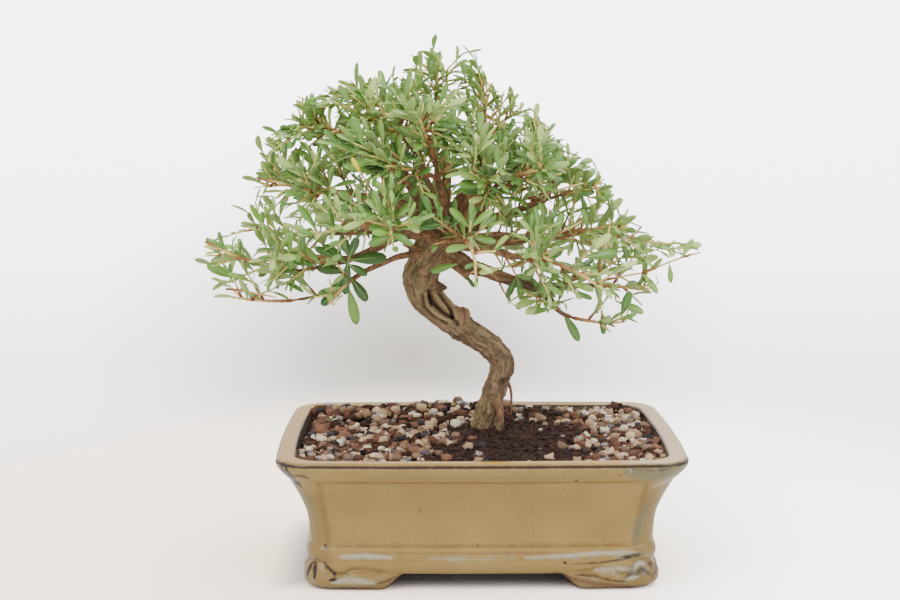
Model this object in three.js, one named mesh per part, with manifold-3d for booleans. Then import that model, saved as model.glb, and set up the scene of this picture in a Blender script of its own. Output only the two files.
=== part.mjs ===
// A coprosma bonsai growing in a glazed rectangular pot. Millimetres, +Z up.
// The pot's long sides face -Y, the front, and +Y, the back. It is built standing on Z = 0 with the
// pot's centre on the Z axis, and the whole is then moved so that the origin lies under its middle.

import * as THREE from 'three';
import { mergeVertices } from 'three/addons/utils/BufferGeometryUtils.js';
import Module from 'manifold-3d';

const wasm = await Module();
wasm.setup();

// Driving dimensions of the pot
const potWidth = 212;
const potDepth = 158;
const potHeight = 70.5;
const rimCornerRadius = 18;
const sideBow = 1.6;
const panelDepth = 1.1;
const floorTop = 13.5;
const apronHeight = 8.5;
const footLength = 48;
const footWall = 10;
const drainRadius = 7;
const drainSpacing = 90;

// Driving dimensions of what the pot holds
const seatGap = 0.35;
const leastDetail = 0.02;
const screenSize = 26;
const screenThickness = 1.2;
const netPitch = 10;
const netMesh = 7.5;
const soilEdgeHeight = 65.2;
const pebbleSize = 3.6;
const pebbleCount = 16;
const gritRelief = 1.5;
const rootBallCentre = [19, 3];
const rootBallRadii = [40, 31];
const rootBallBottom = 24;

// Driving dimensions of the leafy sprays
const leafLengths = [14, 19.5];
const leafWidthRatio = 0.36;
const leafThickness = 1;
const twigRootRadius = 1.35;
const sideTwigRadius = 0.64;
const twigTipRadius = 0.52;
const leafNodeSpacing = 5.2;
const leavesPerSpray = 9;
const sideTwigsPerSpray = 3;

const UP = new THREE.Vector3(0, 0, 1);
const glaze = new THREE.MeshStandardMaterial({ color: 0xb0986b, roughness: 0.25, metalness: 0 });
const gravel = new THREE.MeshStandardMaterial({ color: 0x9a8068, roughness: 0.95, metalness: 0 });
const peat = new THREE.MeshStandardMaterial({ color: 0x2e1e16, roughness: 1, metalness: 0 });
const netting = new THREE.MeshStandardMaterial({ color: 0x1c1c1e, roughness: 0.6, metalness: 0 });
const bark = new THREE.MeshStandardMaterial({ color: 0x7d6447, roughness: 0.9, metalness: 0 });
const foliage = new THREE.MeshStandardMaterial({ color: 0x5d8a3c, roughness: 0.45, metalness: 0 });

// A run of numbers from 0 to 1 that is the same each time for one seed.
function seeded(seed) {
  let state = seed >>> 0;
  return () => {
    state = (Math.imul(state, 1664525) + 1013904223) >>> 0;
    return state / 4294967296;
  };
}

// Turns a closed surface into a solid with its faces pointing outwards.
function solid(geometry) {
  geometry.deleteAttribute('normal');
  geometry.deleteAttribute('uv');
  const merged = mergeVertices(geometry);
  const at = merged.getAttribute('position');
  const index = merged.getIndex().array;
  const [a, b, c] = [new THREE.Vector3(), new THREE.Vector3(), new THREE.Vector3()];
  const corners = [];
  let volume = 0;
  for (let k = 0; k < index.length; k += 3) {
    const [i, j, l] = [index[k], index[k + 1], index[k + 2]];
    if (i === j || j === l || l === i) continue;
    corners.push(i, j, l);
    a.fromBufferAttribute(at, i);
    b.fromBufferAttribute(at, j);
    c.fromBufferAttribute(at, l);
    volume += a.dot(b.cross(c));
  }
  if (volume < 0) corners.reverse();
  return new wasm.Manifold(new wasm.Mesh({
    numProp: 3,
    vertProperties: new Float32Array(at.array),
    triVerts: new Uint32Array(corners),
  }));
}

function joined(solids) {
  return solids.reduce((whole, next) => whole.add(next));
}

// The largest connected piece of a solid, without the loose scraps that a cut leaves.
function largestPiece(whole) {
  return whole.decompose().reduce((best, next) => (next.volume() > best.volume() ? next : best));
}

// Draws the two ends of each edge shorter than the least detail together, so that a cut leaves no
// specks of faces. An edge stays where that would pinch the surface.
function withoutSpecks(points, corners) {
  const facesAt = points.map(() => new Set());
  for (let k = 0; k < corners.length; k += 3) {
    const face = [corners[k], corners[k + 1], corners[k + 2]];
    for (const corner of face) facesAt[corner].add(face);
  }
  const neighbours = (corner) => new Set([...facesAt[corner]].flat());
  const canMeet = (from, to) => {
    const near = neighbours(from);
    return [...neighbours(to)].filter((corner) => near.has(corner)).length === 4;
  };
  for (let from = 0; from < points.length; from++) {
    const isShort = (to) => to !== from && points[from].distanceTo(points[to]) < leastDetail;
    const to = [...neighbours(from)].find((corner) => isShort(corner) && canMeet(from, corner));
    if (to === undefined) continue;
    for (const face of facesAt[from]) {
      if (face.includes(to)) {
        for (const corner of face) facesAt[corner].delete(face);
      } else {
        face[face.indexOf(from)] = to;
        facesAt[to].add(face);
      }
    }
    facesAt[from].clear();
  }
  const geometry = new THREE.BufferGeometry().setFromPoints(points);
  geometry.setIndex([...new Set(facesAt.flatMap((faces) => [...faces]))].flat());
  return mergeVertices(geometry);
}

function node(name, whole, material) {
  const mesh = whole.getMesh();
  const points = [];
  for (let k = 0; k < mesh.vertProperties.length; k += 3) {
    points.push(new THREE.Vector3().fromArray(mesh.vertProperties, k));
  }
  const made = new THREE.Mesh(withoutSpecks(points, mesh.triVerts), material);
  made.name = name;
  return made;
}

// A closed skin of columns and steps turned about an axis, each of whose points is then put in its
// place. The first and last steps are the poles, where all columns meet.
function turned(steps, columns, place) {
  const profile = [];
  for (let step = 0; step < steps; step++) {
    const onAxis = step === 0 || step === steps - 1;
    profile.push(new THREE.Vector2(onAxis ? 0 : 1, step));
  }
  const skin = new THREE.LatheGeometry(profile, columns);
  const points = skin.getAttribute('position');
  for (let k = 0; k < points.count; k++) {
    const spot = place(Math.floor(k / steps) % columns, k % steps);
    points.setXYZ(k, spot.x, spot.y, spot.z);
  }
  return solid(skin);
}

// The pot's outline seen from above: rounded corners joined by sides that bow outwards. Each column
// gives its point for an outline of half sizes a and b and corner radius r. The columns of a panel lie
// back by the recess.
function outline(longSide, shortSide, cornerSteps) {
  const columns = [];
  const addSide = (turn, fractions) => {
    for (const fraction of fractions) {
      const inPanel = Math.abs(fraction) <= Math.max(...fractions) - 0.03;
      columns.push((a, b, r, recess) => {
        const [along, out] = turn % 2 ? [a - r, b] : [b - r, a];
        const bow = sideBow * (1 - fraction * fraction);
        const spot = new THREE.Vector2(out + bow - (inPanel ? recess : 0), fraction * along);
        return spot.rotateAround(new THREE.Vector2(), turn * Math.PI / 2);
      });
    }
  };
  const addCorner = (turn) => {
    for (let k = 0; k <= cornerSteps; k++) {
      const angle = (turn + k / cornerSteps) * Math.PI / 2;
      const signX = turn === 0 || turn === 3 ? 1 : -1;
      const signY = turn < 2 ? 1 : -1;
      columns.push((a, b, r) => new THREE.Vector2(
        signX * (a - r) + r * Math.cos(angle),
        signY * (b - r) + r * Math.sin(angle),
      ));
    }
  };
  for (let turn = 0; turn < 4; turn++) {
    addSide(turn, turn % 2 ? longSide : shortSide);
    addCorner(turn);
  }
  return columns;
}

const panelledOutline = outline([-0.96, -0.92, -0.4, 0.4, 0.92, 0.96], [-0.94, -0.88, 0, 0.88, 0.94], 3);
const plainOutline = outline([-0.4, 0.4], [0], 3);

// A solid whose outline follows the rim's, set in by each step's inset. Steps are [inset, height,
// recess of the panels], from the bottom to the top.
function potShape(columns, steps, extraInset = 0) {
  const rings = steps.length;
  return turned(rings + 2, columns.length, (column, step) => {
    const [inset, height, recess = 0] = steps[Math.min(Math.max(step - 1, 0), rings - 1)];
    if (step === 0 || step === rings + 1) return new THREE.Vector3(0, 0, height);
    const set = inset + extraInset;
    const radius = rimCornerRadius - 0.35 * Math.min(set, 24);
    const flat = columns[column](potWidth / 2 - set, potDepth / 2 - set, radius, recess);
    return new THREE.Vector3(flat.x, flat.y, height);
  });
}

const outsideSteps = [
  [18.5, 0], [15.2, 2.6], [14.7, 8], [16.5, 15.3], [15.1, 20.3], [16.3, 23.2, panelDepth],
  [15.4, 36, panelDepth], [11.4, 49, panelDepth], [6.6, 58.6, panelDepth], [5.2, 60.2], [1.4, 64.6],
  [0, 68], [0.9, potHeight],
];
const cavitySteps = [
  [25, floorTop], [23, 18], [20.6, 40], [15.2, 56], [11, 66], [9.8, potHeight], [9.8, potHeight + 20],
];

// The arch between two feet: flat under the apron, with an ogee down to each foot.
function archCutter(halfSpan, depth) {
  const shape = new THREE.Shape();
  shape.moveTo(-halfSpan - 12, -2);
  shape.lineTo(-halfSpan - 12, 0.6);
  shape.bezierCurveTo(-halfSpan - 4, 1.2, -halfSpan - 3, apronHeight, -halfSpan, apronHeight);
  shape.lineTo(halfSpan, apronHeight);
  shape.bezierCurveTo(halfSpan + 3, apronHeight, halfSpan + 4, 1.2, halfSpan + 12, 0.6);
  shape.lineTo(halfSpan + 12, -2);
  shape.closePath();
  const cutter = new THREE.ExtrudeGeometry(shape, { depth, bevelEnabled: false, curveSegments: 3 });
  cutter.translate(0, 0, -depth / 2);
  cutter.rotateX(Math.PI / 2);
  return cutter;
}

function pot() {
  const body = potShape(panelledOutline, outsideSteps);
  const cavity = potShape(plainOutline, cavitySteps);
  const hollowBase = potShape(plainOutline, [[14.6 + footWall, -2], [14.6 + footWall, apronHeight]]);
  const frontArch = archCutter(potWidth / 2 - 15 - footLength, potDepth + 20);
  const sideArch = archCutter(potDepth / 2 - 15 - footLength * 0.72, potWidth + 20);
  sideArch.rotateZ(Math.PI / 2);
  let shell = body.subtract(cavity).subtract(hollowBase).subtract(solid(frontArch)).subtract(solid(sideArch));
  for (const side of [-1, 1]) {
    const drain = new THREE.CylinderGeometry(drainRadius, drainRadius, 2 * floorTop, 8);
    drain.rotateX(Math.PI / 2);
    drain.translate(side * drainSpacing / 2, 0, floorTop);
    shell = shell.subtract(solid(drain));
  }
  return shell;
}

// A square of plastic netting, with two rows of two meshes.
function screen(x) {
  const level = floorTop + seatGap + screenThickness / 2;
  const sheet = new THREE.BoxGeometry(screenSize, screenSize, screenThickness);
  sheet.translate(x, 0, level);
  let net = solid(sheet);
  for (const column of [-0.5, 0.5]) {
    for (const row of [-0.5, 0.5]) {
      const mesh = new THREE.BoxGeometry(netMesh, netMesh, 3 * screenThickness);
      mesh.translate(x + column * netPitch, row * netPitch, level);
      net = net.subtract(solid(mesh));
    }
  }
  return net;
}

// The height of the potting mix: mounded round the trunk and against the back rim.
function soilHeight(x, y) {
  const roundTrunk = 4.2 * Math.exp(-((x / 56) ** 2 + ((y - 18) / 42) ** 2));
  const backMound = 3.4 * Math.exp(-(((x + 28) / 46) ** 2 + ((y - 60) / 24) ** 2));
  return soilEdgeHeight + roundTrunk + backMound;
}

// The outline of the root ball at a fraction of its full radius, wavy as fine roots spread unevenly.
function rootBallPoint(angle, fraction, grow) {
  const wave = 1 + 0.08 * Math.sin(3 * angle + 0.6) + 0.05 * Math.sin(5 * angle);
  return new THREE.Vector2(
    rootBallCentre[0] + Math.cos(angle) * (rootBallRadii[0] * fraction * wave + grow),
    rootBallCentre[1] + Math.sin(angle) * (rootBallRadii[1] * fraction * wave + grow),
  );
}

function rootBallShape(grow) {
  const columns = 14;
  const shoulder = soilEdgeHeight - 6;
  const rings = [[0.55, rootBallBottom], [0.9, rootBallBottom + 14], [1, shoulder], [1, 0], [0.5, 0]];
  return turned(rings.length + 2, columns, (column, step) => {
    const angle = column / columns * 2 * Math.PI;
    if (step === 0) return new THREE.Vector3(...rootBallCentre, rootBallBottom - grow);
    const top = grow > 0 ? 20 : 0.8;
    if (step === rings.length + 1) {
      return new THREE.Vector3(...rootBallCentre, soilHeight(...rootBallCentre) + top);
    }
    const [fraction, height] = rings[step - 1];
    const spot = rootBallPoint(angle, fraction, grow);
    const level = height || soilHeight(spot.x, spot.y) + top * (fraction < 1 ? 1 : 0.2) + (grow > 0 ? 20 : 0);
    return new THREE.Vector3(spot.x, spot.y, step === 1 ? level - grow : level);
  });
}

// Angular grains of pumice, fired clay and gravel, larger than life, half sunk in the surface.
function pebbles() {
  const draw = seeded(41);
  const grains = [];
  const across = Math.round(Math.sqrt(pebbleCount * potWidth / potDepth));
  const deep = Math.round(pebbleCount / across);
  for (let column = 0; column < across; column++) {
    for (let row = 0; row < deep; row++) {
      const x = ((column + 0.2 + 0.6 * draw()) / across - 0.5) * (potWidth - 30);
      const y = ((row + 0.2 + 0.6 * draw()) / deep - 0.5) * (potDepth - 30);
      const size = pebbleSize * (0.75 + 0.6 * draw());
      const grain = new THREE.OctahedronGeometry(size, 0);
      grain.rotateX(draw() * 3);
      grain.rotateZ(draw() * 3);
      grain.scale(1 + 0.3 * draw(), 1, 0.85);
      grain.translate(x, y, soilHeight(x, y) + 0.15 * size);
      grains.push(solid(grain));
    }
  }
  return joined(grains);
}

function grit() {
  const [across, deep] = [17, 12];
  const ground = new THREE.BoxGeometry(potWidth, potDepth, 100, across, deep, 1);
  const points = ground.getAttribute('position');
  const draw = seeded(17);
  const rough = Array.from({ length: (across + 1) * (deep + 1) }, () => gritRelief * (draw() - 0.5) * 2);
  for (let k = 0; k < points.count; k++) {
    if (points.getZ(k) < 0) continue;
    const [x, y] = [points.getX(k), points.getY(k)];
    const column = Math.round((x / potWidth + 0.5) * across);
    const row = Math.round((y / potDepth + 0.5) * deep);
    points.setZ(k, soilHeight(x, y) + rough[column + row * (across + 1)]);
  }
  const inside = cavitySteps.map(([inset, height]) => [inset, height]);
  inside[0][1] = floorTop + seatGap;
  let whole = solid(ground).add(pebbles()).intersect(potShape(plainOutline, inside, seatGap + 0.05));
  for (const side of [-1, 1]) {
    const pocket = new THREE.BoxGeometry(screenSize + 1, screenSize + 1, 2 * (screenThickness + 2 * seatGap));
    pocket.translate(side * drainSpacing / 2, 0, floorTop);
    whole = whole.subtract(solid(pocket));
  }
  return largestPiece(whole.subtract(rootBallShape(seatGap)));
}

// A tapered stem along hand-chosen points [x, y, z, radius]. It may be fluted, and a grown copy of it
// clears the room that its neighbours keep from it.
function stem(points, sides, rings, flute = 0, grow = 0) {
  const curve = new THREE.CatmullRomCurve3(points.map(([x, y, z]) => new THREE.Vector3(x, y, z)));
  const frames = curve.computeFrenetFrames(rings, false);
  return turned(rings + 3, sides, (column, step) => {
    const ring = Math.min(Math.max(step - 1, 0), rings);
    const at = curve.getUtoTmapping(ring / rings) * (points.length - 1);
    const from = Math.min(Math.floor(at), points.length - 2);
    const radius = THREE.MathUtils.lerp(points[from][3], points[from + 1][3], at - from) + grow;
    const spot = curve.getPointAt(ring / rings);
    if (ring === 0) spot.addScaledVector(frames.tangents[0], -grow);
    if (ring === rings) spot.addScaledVector(frames.tangents[rings], grow);
    if (step === 0) return spot.addScaledVector(frames.tangents[0], -0.3 * radius);
    if (step === rings + 2) return spot.addScaledVector(frames.tangents[rings], 0.3 * radius);
    const angle = column / sides * 2 * Math.PI;
    const reach = radius * (1 + flute * Math.cos(3 * angle + 0.8 * ring) * (column % 2 ? 1 : 0.4));
    spot.addScaledVector(frames.normals[ring], reach * Math.cos(angle));
    return spot.addScaledVector(frames.binormals[ring], reach * Math.sin(angle));
  });
}

const trunkLine = [
  [5, 14, 48, 8.2], [5.6, 14.4, 68, 9.4], [6.8, 14, 77, 7.8], [9.4, 13, 87.5, 7.6],
  [11.9, 12, 97, 7.6], [13, 11, 106, 7.6], [6, 10, 114.8, 7.6], [-4, 9.6, 121.6, 7.8], [-10, 9.4, 126, 8.2],
  [-18.4, 9.4, 132.8, 8.3], [-25.7, 9.6, 139.8, 9.2], [-31, 9.8, 147, 9.8], [-32, 9.8, 153.4, 9],
  [-30.4, 9, 159, 9.2], [-27, 8, 165, 10.6], [-23, 8, 172, 11.6], [-20, 8, 179, 9],
];

// Limbs start inside the crown. Each point is [x, y, z, radius].
const limbs = {
  rightLow: [
    [-18, 4, 168, 5.5], [-6, 0, 162, 4.4], [14, -5, 155.5, 3.4], [33, -9, 149, 2.8], [43, -13, 138, 2],
    [50, -15, 135, 1.5],
  ],
  rightLowFar: [[26, -7, 151.5, 2.4], [46, -5, 151, 1.9], [62, -4, 151, 1.5]],
  leftThin: [
    [-26, 2, 168, 2.8], [-45, -5, 167, 2.2], [-60, -9, 160, 2], [-84, -15, 148, 1.7], [-100, -18, 145, 1.4],
  ],
  leftMain: [
    [-24, 5, 178, 5], [-42, 4, 179, 4.2], [-61, 1, 168.5, 3.4], [-82, -1, 162, 2.4], [-98, -3, 159, 1.6],
  ],
  leftBack: [[-28, 12, 178, 3.8], [-52, 26, 178, 3], [-76, 36, 176, 2.2], [-92, 42, 174, 1.6]],
  leftUpper: [[-25, 8, 180, 4.4], [-45, 6, 196, 3.4], [-66, 2, 200, 2.6], [-82, 0, 202, 1.8]],
  leftHigh: [[-24, 8, 182, 4.2], [-40, 10, 208, 3.2], [-56, 12, 221, 2.4], [-68, 12, 229, 1.6]],
  topLeft: [[-22, 10, 184, 4.4], [-31, 10, 212, 3.2], [-39, 8, 230, 2.2], [-44, 7, 240, 1.5]],
  top: [[-20, 10, 184, 4.2], [-18, 12, 208, 3.2], [-19, 13, 226, 2], [-20, 13, 238, 1.4]],
  topRight: [[-18, 10, 182, 3.8], [-5, 14, 206, 3], [1, 16, 222, 2], [4, 16, 232, 1.4]],
  rightHigh: [[-16, 8, 180, 4], [4, 6, 195, 3], [20, 5, 208, 2.2], [28, 4, 214, 1.5]],
  rightUpper: [[-14, 6, 178, 4.2], [12, 2, 188, 3.2], [32, -1, 196, 2.2], [44, -2, 200, 1.5]],
  rightMid: [[-14, 6, 174, 4.4], [16, 8, 174, 3.4], [44, 10, 177, 2.4], [66, 10, 178, 1.6]],
  rightBack: [[-14, 14, 174, 3.6], [8, 32, 174, 2.8], [32, 49, 172, 2], [46, 56, 171, 1.5]],
  frontLeft: [[-24, 0, 176, 3.8], [-36, -20, 184, 3], [-48, -38, 187, 2], [-56, -46, 188, 1.5]],
  front: [[-20, -2, 174, 3.8], [-15, -22, 178, 3], [-10, -38, 180, 2], [-8, -46, 180, 1.5]],
  frontRight: [[-14, 0, 174, 3.6], [6, -20, 172, 2.8], [24, -38, 170, 2], [32, -44, 170, 1.5]],
  frontHigh: [[-20, 5, 178, 4.2], [-21, -14, 204, 2.8], [-23, -24, 215, 2], [-24, -28, 220, 1.5]],
  frontRightHigh: [[-17, 5, 177, 4], [0, -16, 198, 2.6], [10, -27, 207, 1.9], [14, -30, 210, 1.4]],
  back: [[-20, 16, 176, 3.8], [-20, 38, 182, 2.8], [-18, 54, 184, 2], [-18, 60, 184, 1.5]],
  backLeftHigh: [[-24, 14, 182, 3.4], [-38, 30, 203, 2.6], [-47, 39, 212, 1.9], [-50, 42, 214, 1.4]],
  backRightHigh: [[-16, 14, 180, 3.4], [0, 30, 199, 2.6], [12, 41, 208, 1.9], [16, 44, 210, 1.4]],
};

const thinRoot = [[15, 13, 98, 1.2], [18.2, 13.4, 90, 0.8], [18.4, 13.6, 80, 0.7], [18, 14, 72, 0.6]];
const snag = [[-31, 7, 146, 3], [-22, 4.5, 146.6, 2], [-16.4, 4, 145.2, 0.4]];
const knob = [[-10, 8, 127, 5.2], [-8.4, 5.6, 131.6, 4.6], [-7.8, 4.8, 133.4, 3.4]];
const stubs = [
  [[-20, 2, 168, 3], [-8, -6, 160, 1.9], [-3.5, -9, 154.5, 1.5]],
  [[-28, 4, 168, 2.6], [-38, -1, 172.5, 1.8], [-41, -2, 174, 1.5]],
];
function trunkShape(grow) {
  const parts = [stem(trunkLine, 10, 16, 0.07, grow)];
  for (const line of Object.values(limbs)) parts.push(stem(line, 5, line.length - 1, 0, grow));
  for (const line of [snag, knob, ...stubs]) parts.push(stem(line, 5, 2, 0, grow));
  parts.push(stem(thinRoot, 4, 3, 0, grow));
  return joined(parts);
}

function trunk() {
  const hollow = new THREE.SphereGeometry(1, 8, 6);
  hollow.scale(2.2, 2.6, 5.4);
  hollow.rotateY(-0.75);
  hollow.translate(-27.6, 0.6, 142.6);
  return largestPiece(trunkShape(0).subtract(solid(hollow)));
}

// Sprays are [limb, place along it from 0 to 1, tip of the main twig, rise of its arch].
const sprays = [
  ['rightLow', 1, [80, -20, 134], -3], ['rightLow', 0.62, [30, -36, 146], 2],
  ['rightLowFar', 1, [100, -6, 146], 3], ['rightLowFar', 0.4, [78, 16, 157], 3],
  ['leftThin', 1, [-136, -22, 148], -2], ['leftThin', 0.55, [-82, -38, 144], 2],
  ['leftMain', 1, [-142, -6, 170], -3], ['leftMain', 0.6, [-112, -34, 168], 3],
  ['leftMain', 0.72, [-112, 20, 162], 2], ['leftBack', 1, [-130, 46, 178], -2],
  ['leftUpper', 1, [-116, -4, 205], 3], ['leftUpper', 0.6, [-92, -34, 202], 3],
  ['leftUpper', 0.75, [-106, 24, 200], 2], ['leftHigh', 1, [-102, 10, 240], 3],
  ['leftHigh', 0.6, [-84, 36, 228], 3], ['topLeft', 1, [-66, 4, 253], 3],
  ['topLeft', 0.6, [-58, -24, 242], 2], ['top', 1, [-24, 12, 267], 0],
  ['top', 0.7, [-42, 32, 249], 2], ['topRight', 1, [2, 12, 262], 1],
  ['topRight', 0.6, [18, 34, 242], 3], ['rightHigh', 1, [37, 0, 236], 2],
  ['rightHigh', 0.6, [32, -24, 230], 3], ['rightUpper', 1, [69, -6, 204], 3],
  ['rightUpper', 0.6, [49, 22, 212], 3], ['rightMid', 1, [108, 6, 168], 4],
  ['rightMid', 0.65, [79, -14, 183], 3], ['rightMid', 0.75, [84, 36, 176], 3],
  ['rightBack', 1, [80, 66, 160], 4], ['rightBack', 0.6, [36, 82, 174], 3],
  ['frontLeft', 1, [-84, -66, 184], 3], ['frontLeft', 0.6, [-46, -74, 186], 3],
  ['front', 1, [-4, -84, 172], 4], ['frontRight', 1, [62, -60, 156], 3],
  ['frontRight', 0.6, [34, -72, 172], 4], ['frontHigh', 1, [-32, -48, 242], 1],
  ['frontHigh', 0.5, [-50, -46, 218], 2], ['frontRightHigh', 1, [32, -52, 216], 3],
  ['frontRightHigh', 0.5, [0, -52, 212], 2], ['back', 1, [-14, 94, 172], 4],
  ['back', 0.5, [-44, 76, 192], 3], ['backLeftHigh', 1, [-74, 62, 216], 3],
  ['backRightHigh', 1, [40, 64, 206], 3],
];

// A point on the bent line from start through control to end, and the line's heading there.
function bentPoint(start, control, end, t) {
  const spot = start.clone().multiplyScalar((1 - t) * (1 - t));
  return spot.addScaledVector(control, 2 * t * (1 - t)).addScaledVector(end, t * t);
}

function bentHeading(start, control, end, t) {
  const heading = control.clone().sub(start).multiplyScalar(1 - t);
  return heading.addScaledVector(end.clone().sub(control), t).normalize();
}

// The direction square to a heading at an angle round it.
function aroundHeading(heading, angle) {
  const level = heading.clone().cross(UP).normalize();
  const steep = level.clone().cross(heading);
  return level.multiplyScalar(Math.cos(angle)).addScaledVector(steep, Math.sin(angle));
}

// One leaf at a node of a twig: where it is rooted, where it points, which way its upper face looks.
function leafAt(draw, root, heading, angle, spread, scale) {
  const out = aroundHeading(heading, angle);
  const points = heading.clone().multiplyScalar(Math.cos(spread)).addScaledVector(out, Math.sin(spread));
  points.z += 0.14;
  points.normalize();
  const face = new THREE.Vector3(draw() - 0.5, draw() - 0.5, 0).multiplyScalar(0.9);
  face.add(UP).addScaledVector(heading, 0.45);
  face.addScaledVector(points, -face.dot(points)).normalize();
  const length = THREE.MathUtils.lerp(...leafLengths, draw()) * scale;
  return { root, points, face, length, droop: 0.05 + 0.16 * draw() };
}

// Opposite pairs of leaves along a twig, each pair turned a quarter from the last, and a pair at its tip.
function leavesAlong(draw, line, bareShare) {
  const [start, control, end] = line;
  const length = start.distanceTo(end);
  const pairs = Math.max(1, Math.floor(length * (1 - bareShare) / leafNodeSpacing));
  let turn = draw() < 0.5 ? 0 : Math.PI / 2;
  const leaves = [];
  for (let pair = 0; pair <= pairs; pair++) {
    const along = bareShare + (1 - bareShare) * pair / pairs - (pair === pairs ? 1.2 / length : 0);
    const root = bentPoint(...line, along);
    const heading = bentHeading(...line, along);
    const spread = THREE.MathUtils.lerp(1.05, 0.5, along) + 0.2 * (draw() - 0.5);
    const scale = pair === pairs ? 0.82 : 1;
    for (const side of [0, 1]) {
      const angle = turn + side * Math.PI + 0.4 * (draw() - 0.5);
      leaves.push(leafAt(draw, root, heading, angle, spread, scale));
    }
    turn += Math.PI / 2;
  }
  return leaves;
}

// All twigs and leaves of one spray. The first twig is the main one, and the others fork from it.
function sprayPlan(seed, root, tip, rise) {
  const draw = seeded(seed);
  const length = root.distanceTo(tip);
  const control = root.clone().add(tip).multiplyScalar(0.5).addScaledVector(UP, rise);
  const main = [root, control, tip];
  const twigs = [{ line: main, leaves: leavesAlong(draw, main, 0.42) }];
  const forks = Math.min(7, Math.max(4, Math.round(length / 8)));
  let turn = draw() < 0.5 ? 0 : Math.PI;
  for (let fork = 0; fork < forks; fork++) {
    const along = 0.26 + 0.6 * fork / (forks - 1);
    const start = bentPoint(...main, along);
    const heading = bentHeading(...main, along);
    turn += (fork % 2 ? Math.PI : Math.PI / 2) + 0.3 * (draw() - 0.5);
    const reach = Math.min(25, length * (0.56 - 0.3 * along)) * (0.85 + 0.3 * draw());
    const aim = heading.multiplyScalar(0.75).addScaledVector(aroundHeading(heading, turn), 0.85);
    aim.z += 0.3;
    aim.normalize();
    const middle = start.clone().addScaledVector(aim, 0.5 * reach);
    const end = start.clone().addScaledVector(aim, reach);
    const line = [start, middle, end];
    twigs.push({ line, leaves: leavesAlong(draw, line, 0.3) });
  }
  return twigs;
}

// A four-sided twig. Its faces look level, up and down, so that opposite leaves leave it from their middles.
function twigSolid(line, thick, thin, rings) {
  return turned(rings + 3, 4, (column, step) => {
    const along = Math.min(Math.max(step - 1, 0), rings) / rings;
    const spot = bentPoint(...line, along);
    const radius = THREE.MathUtils.lerp(thick, thin, along);
    const heading = bentHeading(...line, along);
    if (step === 0) return spot.addScaledVector(heading, -0.3 * radius);
    if (step === rings + 2) return spot.addScaledVector(heading, 0.8 * radius);
    return spot.addScaledVector(aroundHeading(heading, (column + 0.5) * Math.PI / 2), radius);
  });
}

// A spatulate blade, flat above and keeled under its midrib, whose root is sunk in the twig. One edge of
// its outline is given as [share of the length, share of the half width], and mirrored for the other.
const bladeEdge = [[0.55, 1], [0.96, 0.42]];
const bladeFaces = [1, 2, 3, 1, 3, 4, 0, 1, 4, 0, 5, 1, 1, 5, 2, 2, 5, 3, 3, 5, 4, 4, 5, 0];

function leafSolid({ root, points, face, length, droop }) {
  const across = points.clone().cross(face);
  const halfWidth = length * leafWidthRatio / 2;
  const spot = (along, out, lift) => {
    const at = root.clone().addScaledVector(points, along * length).addScaledVector(across, out * halfWidth);
    return at.addScaledVector(face, lift - droop * along * along * length);
  };
  const rim = bladeEdge.map(([along, out]) => spot(along, out, 0));
  const mirrored = bladeEdge.map(([along, out]) => spot(along, -out, 0)).reverse();
  const blade = new THREE.BufferGeometry();
  blade.setFromPoints([spot(0, 0, 0), ...rim, ...mirrored, spot(0.5, 0, -leafThickness)]);
  blade.setIndex(bladeFaces);
  return solid(blade);
}

function boxesMeet(first, second, gap) {
  return [0, 1, 2].every((k) => first.min[k] - gap < second.max[k] && second.min[k] - gap < first.max[k]);
}

// Everything that a new twig or leaf keeps clear of, each with the spray that it belongs to.
const taken = [];

function take(owner, whole) {
  taken.push({ owner, whole, box: whole.boundingBox() });
}

function isClear(owner, whole) {
  const box = whole.boundingBox();
  const near = taken.filter((other) => other.owner !== owner && boxesMeet(box, other.box, seatGap));
  return near.every((other) => whole.minGap(other.whole, seatGap) >= seatGap);
}

// A leaf also keeps its outer part clear of its own spray.
function isLeafClear(owner, leaf) {
  const root = leaf.root.clone().addScaledVector(leaf.points, 0.3 * leaf.length);
  const outer = leafSolid({ ...leaf, root, length: 0.7 * leaf.length });
  return isClear(owner, leafSolid(leaf)) && isClear('leaf', outer);
}

function limbPoint(line, along) {
  const curve = new THREE.CatmullRomCurve3(line.map(([x, y, z]) => new THREE.Vector3(x, y, z)));
  return curve.getPoint(along);
}

// The main twig of a spray, which starts where it just clears the limb that carries it.
function seatedTwig(line) {
  const length = line[0].distanceTo(line[2]);
  for (let slide = 1; slide < 15; slide += 0.1) {
    const start = bentPoint(...line, slide / length);
    const control = line[1].clone().lerp(line[2], slide / length);
    const twig = twigSolid([start, control, line[2]], twigRootRadius, twigTipRadius, 2);
    if (twig.minGap(tree, 1) >= seatGap) return twig;
  }
  throw new Error('a main twig stays inside the tree');
}

const tree = trunk();
take('tree', tree);

const planned = sprays.map(([limb, along, tip, rise], index) => {
  const root = limbPoint(limbs[limb], along);
  const twigs = sprayPlan(100 + 7 * index, root, new THREE.Vector3(...tip), rise);
  const name = `spray_${String(index + 1).padStart(2, '0')}`;
  const main = seatedTwig(twigs[0].line);
  take(name, main);
  return { name, twigs, parts: [main] };
});

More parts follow.
